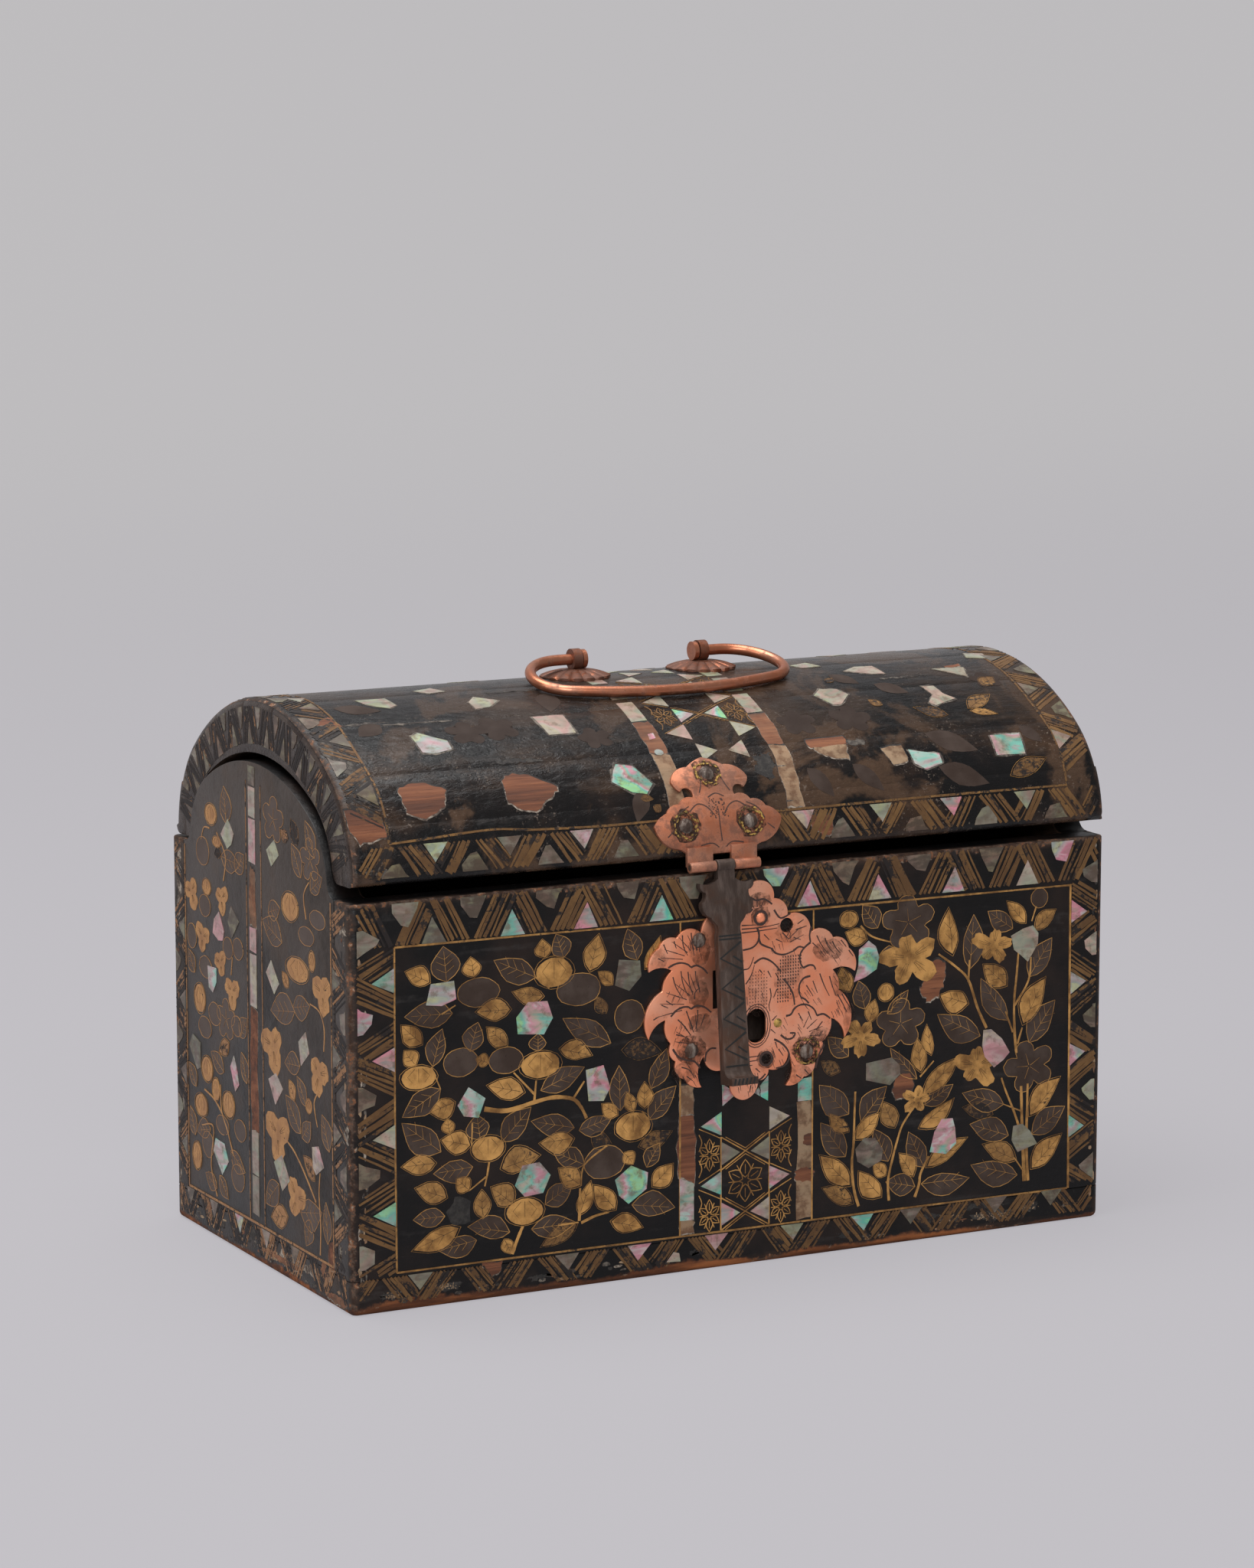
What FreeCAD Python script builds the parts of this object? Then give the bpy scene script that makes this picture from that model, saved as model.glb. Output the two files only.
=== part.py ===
# Domed lacquer coffer: a boarded box whose arched ends rise into a coopered barrel lid,
# with a copper lock plate, an iron hasp, a small box lock, two rear hinges and a carrying bail.
# Frame: +X right, +Y to the back, +Z up, origin in the middle of the underside. Millimetres and degrees.
# The lid stands slightly ajar, as the coffer is usually found.
import FreeCAD, Part
import math
import os
from FreeCAD import Placement, Rotation, Vector

doc = FreeCAD.newDocument("LacquerCoffer")

# Driving dimensions, one named cell each
sizes = {
    # boarded box
    "box_width": 228.0,
    "box_depth": 119.6,
    "rim_height": 108.0,
    "board_thickness": 9.0,
    "floor_thickness": 9.0,
    "corner_round": 2.4,
    # arched end boards
    "end_arch_margin": 13.2,
    "end_arch_rise": 28.4,
    "end_arch_shoulder": 22.0,
    "shoulder_fillet": 4.0,
    # barrel lid
    "lid_short": 1.6,
    "lid_shift": 0.8,
    "lid_inset": 0.2,
    "lid_rise": 42.9,
    "lid_shoulder": 34.0,
    "lid_gap": 0.4,
    "stave_thickness": 7.0,
    "rib_thickness": 10.0,
    "lid_edge_round": 2.5,
    "lid_ajar_angle": 1.75,
    # pegs that hold the boards together
    "peg_radius": 1.2,
    "peg_length": 20.0,
    "peg_end_margin": 14.0,
    "peg_sink": 1.0,
    # sheet metal and nails
    "sheet_thickness": 0.8,
    "seat_gap": 0.05,
    "nail_head_radius": 2.1,
    "nail_head_height": 1.0,
    "nail_shank_radius": 0.8,
    "nail_length": 7.0,
    "nail_tip_radius": 0.25,
    "rivet_head_radius": 1.3,
    "rivet_head_height": 0.5,
    "rivet_length": 4.2,
    # lock plate, keyhole and staple slot
    "lock_plate_x": 2.6,
    "lock_plate_drop": 34.0,
    "lock_plate_turn": 4.9,
    "lock_plate_width": 62.8,
    "lock_plate_height": 59.4,
    "keyhole_x": 4.2,
    "keyhole_drop": 42.6,
    "keyhole_width": 5.8,
    "keyhole_height": 9.2,
    "slot_width": 4.8,
    "slot_height": 10.4,
    # hasp and its plate on the lid
    "hasp_x": -6.6,
    "hasp_thickness": 2.4,
    "hasp_length": 58.0,
    "hasp_half_width": 3.5,
    "hasp_lip": 4.0,
    "hasp_clearance": 0.15,
    "hasp_rest_angle": 5.4,
    "hasp_loop_width": 5.0,
    "hasp_loop_radius": 1.6,
    "hasp_pin_radius": 0.8,
    "hasp_pin_drop": 1.7,
    "hasp_pin_stand_off": 2.4,
    "hasp_knuckle_radius": 1.4,
    "hasp_barrel_length": 20.8,
    "knuckle_gap": 0.3,
    "tab_thickness": 1.2,
    "tab_lap": 2.0,
    "running_gap": 0.05,
    "hasp_plate_width": 38.0,
    "hasp_plate_height": 26.6,
    "hasp_plate_rise": 0.9,
    "staple_drop": 31.8,
    "staple_wall": 0.8,
    "staple_width": 3.0,
    "staple_height": 5.0,
    # lock behind the plate
    "bolt_thickness": 1.2,
    "bolt_height": 4.4,
    "bolt_tip_height": 2.2,
    "bolt_length": 14.5,
    "bolt_tip_length": 6.5,
    "bolt_play": 0.3,
    "bolt_start": 3.0,
    "bolt_notch_start": 1.5,
    "bolt_notch_width": 3.5,
    "lock_well_left": 7.0,
    "lock_well_right": 19.0,
    "lock_well_bottom": 17.0,
    "lock_well_top": 12.5,
    "lock_back_margin": 6.0,
    "lock_back_thickness": 1.5,
    "guide_width": 2.5,
    "guide_wall": 1.4,
    "spring_thickness": 0.6,
    "spring_bow": 0.25,
    "spring_inset": 2.5,
    "spring_tip_gap": 1.5,
    # rear hinges
    "hinge_inset": 52.0,
    "hinge_width": 26.0,
    "hinge_leaf_drop": 3.0,
    "hinge_knuckle_radius": 2.2,
    "hinge_pin_radius": 1.0,
    "hinge_barrel_length": 18.0,
    "hinge_leaf_height": 25.0,
    "hinge_stand_off": 0.3,
    # bail handle on the crown of the lid
    "handle_spacing": 38.9,
    "bail_half_width": 37.7,
    "bail_reach": 26.0,
    "bail_elbow": 13.0,
    "bail_corner": 9.0,
    "bail_wire_radius": 1.5,
    "bail_head_radius": 2.6,
    "bail_head_length": 1.3,
    "bail_gap": 0.3,
    "eye_height": 4.7,
    "eye_radius": 2.9,
    "eye_width": 2.6,
    "eye_shank_radius": 1.2,
    "eye_leg_length": 7.0,
    "rosette_radius": 9.75,
    "rosette_height": 1.2,
    "rosette_rim": 0.5,
}
sheet = doc.addObject("Spreadsheet::Sheet", "Sizes")
for row, (alias, value) in enumerate(sizes.items(), start=1):
    sheet.set("A%d" % row, alias)
    sheet.set("B%d" % row, str(value))
    sheet.setAlias("B%d" % row, alias)
doc.recompute()


class Size:
    """Reads a driving dimension from its cell by name."""

    def __getattr__(self, alias):
        return float(sheet.get(alias))


size = Size()
nodes = []

# Counts of things that repeat
STAVES_PER_SHOULDER = 2
STAVES_IN_CROWN = 5
PEGS_PER_CORNER = 3
FLOOR_PEGS_PER_SIDE = 4
ROSETTE_PETALS = 16
HEAD_FACETS = 10
PEG_FACETS = 8

# Expressions that several pieces share
LID_LENGTH = "(Sizes.box_width - Sizes.lid_short)"
LID_LEFT = "Sizes.lid_shift - %s / 2" % LID_LENGTH

FRONT, BACK, RIGHT = Vector(0, -1, 0), Vector(0, 1, 0), Vector(1, 0, 0)
UP, DOWN = Vector(0, 0, 1), Vector(0, 0, -1)
SMALL = 1e-6
QUARTER_ROUND = math.tan(math.pi / 8)


# Outlines

def curve(start, end, bulge):
    """A line, or an arc whose rise over the chord is half the chord times bulge, to the left of travel."""
    if bulge == 0:
        return Part.LineSegment(start, end)
    run = end - start
    middle = (start + end) * 0.5 + Vector(-run.y, run.x, 0) * (bulge * 0.5)
    return Part.ArcOfCircle(start, middle, end)


def closed(points):
    """The curves of a closed outline from points (x, y, bulge of the stretch to the next point)."""
    curves = []
    for index, (x, y, bulge) in enumerate(points):
        next_x, next_y, _ = points[(index + 1) % len(points)]
        curves.append(curve(Vector(x, y, 0), Vector(next_x, next_y, 0), bulge))
    return curves


def mirrored(half):
    """A whole outline from its right half, which runs from the top of the axis to its foot."""
    left = []
    for index in range(len(half) - 1, 0, -1):
        x, y, _ = half[index]
        left.append((-x, y, half[index - 1][2]))
    return half[:-1] + left


def moved(points, x, y, angle=0.0):
    """The points of an outline turned by angle and then carried to (x, y)."""
    c, s = math.cos(math.radians(angle)), math.sin(math.radians(angle))
    return [(x + px * c - py * s, y + px * s + py * c, bulge) for px, py, bulge in points]


def rectangle(low_x, low_y, high_x, high_y):
    return [(low_x, low_y, 0), (high_x, low_y, 0), (high_x, high_y, 0), (low_x, high_y, 0)]


def upright_slot(x, y, width, height):
    """A slot with half-round ends, its long way along y."""
    half, reach = width / 2, (height - width) / 2
    return [(x + half, y - reach, 0), (x + half, y + reach, -1),
            (x - half, y + reach, 0), (x - half, y - reach, -1)]


def eased_rectangle(half_x, half_y, ease):
    """A rectangle about the origin with rounded corners."""
    points = []
    for x, y in ((1, -1), (1, 1), (-1, 1), (-1, -1)):
        level = (x * (half_x - ease), y * half_y)
        upright = (x * half_x, y * (half_y - ease))
        enter, leave = (level, upright) if x * y < 0 else (upright, level)
        points += [enter + (-QUARTER_ROUND,), leave + (0,)]
    return points


class Arch:
    """A three-centred arch with upright feet: two shoulder arcs and one crown arc."""

    def __init__(self, half_width, rise, shoulder, spring):
        self.shoulder = shoulder
        self.spring = spring
        self.foot = half_width - shoulder
        self.crown = (self.foot ** 2 + rise ** 2 - shoulder ** 2) / (2 * (rise - shoulder))
        self.crown_z = spring + rise - self.crown
        self.turn = math.atan2(spring - self.crown_z, self.foot)

    def centre(self, angle):
        """The centre and radius of the arc that holds the normal at angle from +Y."""
        if angle < self.turn:
            return self.foot, self.spring, self.shoulder
        if angle > math.pi - self.turn:
            return -self.foot, self.spring, self.shoulder
        return 0.0, self.crown_z, self.crown

    def point(self, angle, offset=0.0):
        """The point on the offset arch whose normal stands at angle from +Y."""
        y, z, radius = self.centre(angle)
        return Vector(y + (radius + offset) * math.cos(angle), z + (radius + offset) * math.sin(angle), 0)

    def arcs(self, offset, first=0.0, last=math.pi):
        """The arcs of the offset arch from one normal's angle to another, turning from +Y over the crown."""
        breaks = [a for a in (self.turn, math.pi - self.turn) if first + SMALL < a < last - SMALL]
        stops = [first] + breaks + [last]
        curves = []
        for start, end in zip(stops, stops[1:]):
            through = [self.point(angle, offset) for angle in (start, (start + end) / 2, end)]
            curves.append(Part.ArcOfCircle(*through))
        return curves

    def band(self, inner, outer, first, last):
        """A closed outline between two offsets of the arch."""
        return (self.arcs(outer, first, last)
                + [Part.LineSegment(self.point(last, outer), self.point(last, inner))]
                + self.arcs(inner, first, last)
                + [Part.LineSegment(self.point(first, inner), self.point(first, outer))])


# Solids

def origin_plane(body, role):
    return next(plane for plane in body.Origin.OriginFeatures if plane.Role == role)


def padded(label, role, curves, offset, length):
    """A body padded from one outline on an origin plane, moved along the plane's normal by offset."""
    body = doc.addObject("PartDesign::Body", label)
    outline = body.newObject("Sketcher::SketchObject", label + "_outline")
    outline.AttachmentSupport = [(origin_plane(body, role), "")]
    outline.MapMode = "FlatFace"
    outline.addGeometry(curves, False)
    outline.setExpression("AttachmentOffset.Base.z", offset)
    pad = body.newObject("PartDesign::Pad", label + "_pad")
    pad.Profile = outline
    pad.setExpression("Length", length)
    doc.recompute()
    return body


def pocketed(body, role, curves, offset, depth):
    """Cuts an outline into a body, against the normal of an origin plane moved by offset."""
    before = body.Shape.Volume
    outline = body.newObject("Sketcher::SketchObject", body.Name + "_pocket_outline")
    outline.AttachmentSupport = [(origin_plane(body, role), "")]
    outline.MapMode = "FlatFace"
    outline.addGeometry(curves, False)
    outline.setExpression("AttachmentOffset.Base.z", offset)
    pocket = body.newObject("PartDesign::Pocket", body.Name + "_pocket")
    pocket.Profile = outline
    pocket.setExpression("Length", depth)
    doc.recompute()
    if body.Shape.Volume >= before:
        raise RuntimeError("%s: the pocket removes nothing" % body.Label)
    return body


def rounded(body, radius, chosen):
    """Fillets the edges of a body that chosen(edge) picks."""
    base = body.Tip
    names = ["Edge%d" % number for number, edge in enumerate(base.Shape.Edges, start=1) if chosen(edge)]
    fillet = body.newObject("PartDesign::Fillet", body.Name + "_round")
    fillet.Base = (base, names)
    fillet.setExpression("Radius", radius)
    doc.recompute()
    return body


def extruded(name, placement, curves, length, back="0"):
    """A solid drawn out along the normal of a placed outline, and back from it."""
    outline = doc.addObject("Sketcher::SketchObject", name + "_outline")
    outline.Placement = placement
    outline.addGeometry(curves, False)
    solid = doc.addObject("Part::Extrusion", name)
    solid.Base = outline
    solid.DirMode = "Normal"
    solid.Solid = True
    solid.setExpression("LengthFwd", length)
    solid.setExpression("LengthRev", back)
    return solid


def block(name, low, high):
    """A box between two corners."""
    solid = doc.addObject("Part::Box", name)
    solid.Length, solid.Width, solid.Height = high.x - low.x, high.y - low.y, high.z - low.z
    solid.Placement = Placement(low, Rotation())
    return solid


def cylinder(name, radius, height, base, axis):
    solid = doc.addObject("Part::Cylinder", name)
    solid.setExpression("Radius", radius)
    solid.setExpression("Height", height)
    solid.Placement = Placement(base, Rotation(UP, axis))
    return solid


def fused(name, solids):
    joined = doc.addObject("Part::MultiFuse", name)
    joined.Shapes = solids
    joined.Refine = True
    return joined


def cut(name, base, tool):
    result = doc.addObject("Part::Cut", name)
    result.Base = base
    result.Tool = tool
    return result


def common(name, base, tool):
    result = doc.addObject("Part::Common", name)
    result.Base = base
    result.Tool = tool
    return result


def group(label, shapes):
    """A node of like pieces, each its own solid."""
    node = doc.addObject("Part::Feature", label)
    node.Shape = Part.makeCompound(shapes)
    return node


def tapered(sides, stations):
    """A faceted solid about the z axis, through regular polygons given as (radius, z)."""
    angles = [2 * math.pi * number / sides for number in range(sides + 1)]
    wires = []
    for radius, z in stations:
        corners = [Vector(radius * math.cos(angle), radius * math.sin(angle), z) for angle in angles]
        wires.append(Part.makePolygon(corners))
    return Part.makeLoft(wires, True, True)


def hammered_head(radius, tall):
    """A low hand-beaten head standing on z 0."""
    return tapered(HEAD_FACETS, [(radius, 0), (0.75 * radius, 0.6 * tall), (0.3 * radius, tall)])


def nail(head_at, inward, length):
    """A hand-made nail driven inward from a sheet's face: a beaten head and a square tapering shank."""
    shank = tapered(4, [(size.nail_shank_radius, 0), (size.nail_tip_radius, -length)])
    solid = hammered_head(size.nail_head_radius, size.nail_head_height).fuse(shank)
    solid.Placement = Placement(head_at, Rotation(DOWN, inward))
    return solid


def peg(start, axis):
    """A whittled wooden peg."""
    solid = tapered(PEG_FACETS, [(size.peg_radius, 0), (size.peg_radius, size.peg_length)])
    solid.Placement = Placement(start, Rotation(UP, axis))
    return solid


def keep(node, placement=None):
    """Marks an object as a node of the finished coffer, placed where it belongs."""
    if placement is not None:
        node.Placement = placement * node.Placement
    nodes.append(node)
    return node


# Places that several pieces share
half_width, half_depth = size.box_width / 2, size.box_depth / 2
inner_half_depth = half_depth - size.board_thickness
lid_foot = size.rim_height + size.lid_gap
lid_length = size.box_width - size.lid_short
lid_half_depth = half_depth - size.lid_inset
end_arch = Arch(half_depth - size.end_arch_margin, size.end_arch_rise, size.end_arch_shoulder,
                size.rim_height)
lid_arch = Arch(lid_half_depth, size.lid_rise, size.lid_shoulder, lid_foot)
hinge_axis = Vector(0, half_depth + size.hinge_knuckle_radius + size.hinge_stand_off,
                    size.rim_height + size.lid_gap / 2)
lid_tilt = Placement(Vector(), Rotation(Vector(-1, 0, 0), size.lid_ajar_angle), hinge_axis)
plate_face = half_depth + size.sheet_thickness
facing_front = Rotation(RIGHT, 90)
facing_right = Rotation(Vector(1, 1, 1), 120)


# Places of the hasp and lock, with the lid shut
pin_z = lid_foot - size.hasp_pin_drop - size.lid_gap
pin_y = -half_depth - size.hasp_pin_stand_off
staple_z = pin_z - size.staple_drop
ajar_lift = (hinge_axis.y - pin_y) * math.sin(math.radians(size.lid_ajar_angle))
slot_z = staple_z + ajar_lift / 2
well_left, well_right = size.hasp_x - size.lock_well_left, size.hasp_x + size.lock_well_right
well_low, well_high = slot_z - size.lock_well_bottom, slot_z + size.lock_well_top


# Boarded box: floor, front and back, and two arched ends between them

def long_board(label, side):
    """The front or back board, its two outer upright corners eased."""
    ease = size.corner_round
    outline = [(half_width, inner_half_depth, 0), (half_width, half_depth - ease, -QUARTER_ROUND),
               (half_width - ease, half_depth, 0), (ease - half_width, half_depth, -QUARTER_ROUND),
               (-half_width, half_depth - ease, 0), (-half_width, inner_half_depth, 0)]
    if side < 0:
        outline = moved(outline, 0, 0, 180)
    return padded(label, "XY_Plane", closed(outline), "Sizes.floor_thickness",
                  "Sizes.rim_height - Sizes.floor_thickness")


def flip(point):
    """The point mirrored to the other side of an arch."""
    return Vector(-point.x, point.y, 0)


def hollow_shoulder(gap):
    """The fillet from arched head to level shoulder, a gap outside them: its start angle and three points."""
    fillet = size.shoulder_fillet
    reach = math.sqrt((end_arch.shoulder + fillet) ** 2 - fillet ** 2)
    lean = math.atan2(fillet, reach)
    middle_turn = (math.pi / 2 - lean) / 2
    centre = Vector(end_arch.foot + reach, size.rim_height + fillet, 0)
    middle = centre - Vector(math.sin(middle_turn), math.cos(middle_turn), 0) * (fillet - gap)
    return lean, end_arch.point(lean, gap), middle, centre - Vector(0, fillet - gap, 0)


def end_outline():
    """An end board seen from the side: square foot, small hollow shoulders and the arched head."""
    lean, start, middle, knee = hollow_shoulder(0.0)
    foot = Vector(inner_half_depth, size.floor_thickness, 0)
    corner = Vector(inner_half_depth, size.rim_height, 0)
    return ([Part.LineSegment(flip(foot), foot), Part.LineSegment(foot, corner),
             Part.LineSegment(corner, knee), Part.ArcOfCircle(knee, middle, start)]
            + end_arch.arcs(0.0, lean, math.pi - lean)
            + [Part.ArcOfCircle(flip(start), flip(middle), flip(knee)),
               Part.LineSegment(flip(knee), flip(corner)), Part.LineSegment(flip(corner), flip(foot))])


def floor_board():
    outline = eased_rectangle(half_width, half_depth, size.corner_round)
    return padded("bottom_board", "XY_Plane", closed(outline), "0", "Sizes.floor_thickness")


def front_board():
    """The front board with the lock's well cut through it behind the lock plate."""
    well = rectangle(well_left, well_low, well_right, well_high)
    return pocketed(long_board("front_board", -1), "XZ_Plane", closed(well), "Sizes.box_depth / 2 + 1",
                    "Sizes.board_thickness + 2")


def board_pegs():
    """Hidden wooden pegs through the front and back boards into the edges of the end boards."""
    pegs = []
    rise = (size.rim_height - size.floor_thickness - 2 * size.peg_end_margin) / (PEGS_PER_CORNER - 1)
    for x in (-1, 1):
        for side in (-1, 1):
            for step in range(PEGS_PER_CORNER):
                start = Vector(x * (half_width - size.board_thickness / 2),
                               side * (half_depth - size.peg_sink),
                               size.floor_thickness + size.peg_end_margin + step * rise)
                pegs.append(peg(start, Vector(0, -side, 0)))
    return group("board_pegs", pegs)


def floor_pegs():
    """Hidden wooden pegs up through the floor into the front and back boards."""
    pegs = []
    run = (size.box_width - 4 * size.peg_end_margin) / (FLOOR_PEGS_PER_SIDE - 1)
    for side in (-1, 1):
        for step in range(FLOOR_PEGS_PER_SIDE):
            start = Vector(2 * size.peg_end_margin - half_width + step * run,
                           side * (half_depth - size.board_thickness / 2), size.peg_sink)
            pegs.append(peg(start, UP))
    return group("floor_pegs", pegs)


keep(floor_board())
keep(front_board())
keep(long_board("back_board", 1))
keep(padded("left_end_board", "YZ_Plane", end_outline(), "-Sizes.box_width / 2", "Sizes.board_thickness"))
keep(padded("right_end_board", "YZ_Plane", end_outline(), "Sizes.box_width / 2 - Sizes.board_thickness",
            "Sizes.board_thickness"))
keep(board_pegs())
keep(floor_pegs())


# Barrel lid: two arch ribs carrying coopered staves

def rib_outline():
    """A lid rib: it follows the arched end at the lid's gap, and carries the staves on its back."""
    lean, start, middle, knee = hollow_shoulder(size.lid_gap)
    toe = lid_arch.point(0.0, -size.stave_thickness)
    return (lid_arch.arcs(-size.stave_thickness)
            + [Part.LineSegment(flip(toe), flip(knee)),
               Part.ArcOfCircle(flip(knee), flip(middle), flip(start))]
            + end_arch.arcs(size.lid_gap, lean, math.pi - lean)
            + [Part.ArcOfCircle(start, middle, knee), Part.LineSegment(knee, toe)])


def stave_angles():
    """The normals' angles at the joints between staves, from the back foot over to the front foot."""
    shoulder_step = lid_arch.turn / STAVES_PER_SHOULDER
    crown_step = (math.pi - 2 * lid_arch.turn) / STAVES_IN_CROWN
    angles = [shoulder_step * step for step in range(STAVES_PER_SHOULDER + 1)]
    angles += [lid_arch.turn + crown_step * step for step in range(1, STAVES_IN_CROWN + 1)]
    angles += [math.pi - shoulder_step * step for step in range(STAVES_PER_SHOULDER - 1, -1, -1)]
    return angles


def stave(number, first, last):
    """One lid stave with eased outer ends, and an eased lower edge on the two lowest staves."""
    body = padded("lid_stave_%d" % number, "YZ_Plane", lid_arch.band(-size.stave_thickness, 0.0, first, last),
                  LID_LEFT, LID_LENGTH)
    outer = lid_arch.point((first + last) / 2)

    def outer_end(edge):
        box = edge.BoundBox
        middle = edge.valueAt((edge.FirstParameter + edge.LastParameter) / 2)
        return box.XLength < 1e-6 and math.hypot(middle.y - outer.x, middle.z - outer.y) < 0.01

    def lower_edge(edge):
        box = edge.BoundBox
        at_foot = abs(box.ZMin - lid_foot) < 1e-3 and abs(abs(box.YMin) - lid_half_depth) < 1e-3
        return at_foot and box.XLength > lid_length / 2

    if first == 0.0 or last == math.pi:
        rounded(body, "Sizes.lid_edge_round", lower_edge)
    else:
        rounded(body, "Sizes.corner_round", outer_end)
    return body


keep(padded("left_lid_rib", "YZ_Plane", rib_outline(), LID_LEFT, "Sizes.rib_thickness"), lid_tilt)
keep(padded("right_lid_rib", "YZ_Plane", rib_outline(), LID_LEFT + " + %s - Sizes.rib_thickness" % LID_LENGTH,
            "Sizes.rib_thickness"), lid_tilt)
joints = stave_angles()
for number, (first, last) in enumerate(zip(joints, joints[1:]), start=1):
    keep(stave(number, first, last), lid_tilt)


# Lock plate: scalloped copper leaf work, hung a little askew

def on_plate(x, z):
    """A place on the front from its shares of the upright plate's half width and height."""
    spot = (x * size.lock_plate_width / 2, z * size.lock_plate_height, 0)
    turned = moved([spot], size.lock_plate_x, size.rim_height - size.lock_plate_drop, -size.lock_plate_turn)
    return turned[0][0], turned[0][1]


def plate_point(x, z):
    """A point on the lock plate's face."""
    across, up = on_plate(x, z)
    return Vector(across, -plate_face, up)


def lock_plate():
    half = [(0, 0.519, 0.45), (0.146, 0.438, 0.45), (0.293, 0.362, 0.6), (0.529, 0.281, 0.5),
            (0.758, 0.258, 0.45), (0.92, 0.212, 0.35), (1, 0.103, -0.3), (0.78, 0.111, 0.25),
            (0.857, 0.019, 0.45), (0.949, -0.202, -0.3), (0.803, -0.111, 0.3), (0.736, -0.219, 0.45),
            (0.675, -0.3, 0.5), (0.58, -0.38, 0.3), (0.408, -0.418, -0.35), (0.408, -0.276, 0.5),
            (0.229, -0.342, 0.5), (0.134, -0.392, 0.45), (0, -0.481, 0)]
    curves = closed([on_plate(x, z) + (bulge,) for x, z, bulge in mirrored(half)])
    curves += closed(upright_slot(size.keyhole_x, size.rim_height - size.keyhole_drop, size.keyhole_width,
                                  size.keyhole_height))
    curves += closed(rectangle(size.hasp_x - size.slot_width / 2, slot_z - size.slot_height / 2,
                               size.hasp_x + size.slot_width / 2, slot_z + size.slot_height / 2))
    for x, z, radius in EMPTY_NAIL_HOLES:
        across, up = on_plate(x, z)
        curves.append(Part.Circle(Vector(across, up, 0), UP, radius * size.nail_shank_radius))
    return padded("lock_plate", "XZ_Plane", curves, "Sizes.box_depth / 2", "Sizes.sheet_thickness")


EMPTY_NAIL_HOLES = ((0.29, 0.316, 2.4), (0.194, -0.295, 2.0))
PLATE_NAILS = ((-0.535, -0.251), (0.586, -0.263), (-0.545, 0.249))
PLATE_RIVETS = ((0.029, 0.35), (0.28, -0.13))
keep(lock_plate())
keep(group("lock_plate_nails", [nail(plate_point(x, z), BACK, size.nail_length) for x, z in PLATE_NAILS]))


def rivet(head_at):
    """A low round rivet closed over the lock plate."""
    shank = tapered(PEG_FACETS, [(size.nail_shank_radius, 0), (size.nail_shank_radius, -size.rivet_length)])
    solid = hammered_head(size.rivet_head_radius, size.rivet_head_height).fuse(shank)
    solid.Placement = Placement(head_at, Rotation(DOWN, BACK))
    return solid


keep(group("lock_plate_rivets", [rivet(plate_point(x, z)) for x, z in PLATE_RIVETS]))


# Box lock in the well behind the lock plate
bolt_face = half_depth - size.bolt_play
bolt_tip = size.hasp_x + size.bolt_start
back_outline = rectangle(well_left - size.lock_back_margin, well_low - size.lock_back_margin,
                         well_right + size.lock_back_margin, well_high + size.lock_back_margin)


def lock_bolt():
    """The bolt: a slim tip that enters the hasp's staple, a deeper tail and a notch for the key's bit."""
    tip, bar, notch = size.bolt_tip_height / 2, size.bolt_height / 2, size.bolt_height / 4
    shoulder_x, tail_x = bolt_tip + size.bolt_tip_length, bolt_tip + size.bolt_length
    notch_left = shoulder_x + size.bolt_notch_start
    notch_right = notch_left + size.bolt_notch_width
    outline = [(bolt_tip, -tip, 0), (shoulder_x, -tip, 0), (shoulder_x, -bar, 0), (notch_left, -bar, 0),
               (notch_left, notch - bar, 0), (notch_right, notch - bar, 0), (notch_right, -bar, 0),
               (tail_x, -bar, 0), (tail_x, bar, 0), (shoulder_x, bar, 0), (shoulder_x, tip, 0),
               (bolt_tip, tip, 0)]
    return padded("lock_bolt", "XZ_Plane", closed(moved(outline, 0, staple_z)),
                  "Sizes.box_depth / 2 - Sizes.bolt_play - Sizes.bolt_thickness", "Sizes.bolt_thickness")


def bolt_guides():
    """Two brackets that carry the bolt's tail, open towards the lock plate."""
    room = size.bolt_play / 2
    near, far = -bolt_face, -bolt_face + size.bolt_thickness + room
    low, high = staple_z - size.bolt_height / 2 - room, staple_z + size.bolt_height / 2 + room
    wall, foot = size.guide_wall, -inner_half_depth
    outline = [(foot, low - wall, 0), (foot, high + wall, 0), (near, high + wall, 0), (near, high, 0),
               (far, high, 0), (far, low, 0), (near, low, 0), (near, low - wall, 0)]
    face = Part.Face(Part.Wire([part.toShape() for part in closed(outline)]))
    shapes = []
    for x in (bolt_tip + size.bolt_tip_length + room, well_right - size.guide_width - size.bolt_play):
        bracket = face.extrude(Vector(0, 0, size.guide_width))
        bracket.Placement = Placement(Vector(x, 0, 0), facing_right)
        shapes.append(bracket)
    return group("lock_bolt_guides", shapes)


keep(lock_bolt())
keep(bolt_guides())
keep(padded("lock_back_plate", "XZ_Plane", closed(back_outline),
            "Sizes.box_depth / 2 - Sizes.board_thickness - Sizes.lock_back_thickness",
            "Sizes.lock_back_thickness"))
back_nails = [(x, z) for x in (well_left - size.lock_back_margin / 2, well_right + size.lock_back_margin / 2)
              for z in (well_low - size.lock_back_margin / 2, well_high + size.lock_back_margin / 2)]
keep(group("lock_back_plate_nails",
           [nail(Vector(x, size.lock_back_thickness - inner_half_depth, z), FRONT, size.nail_length)
            for x, z in back_nails]))


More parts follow.
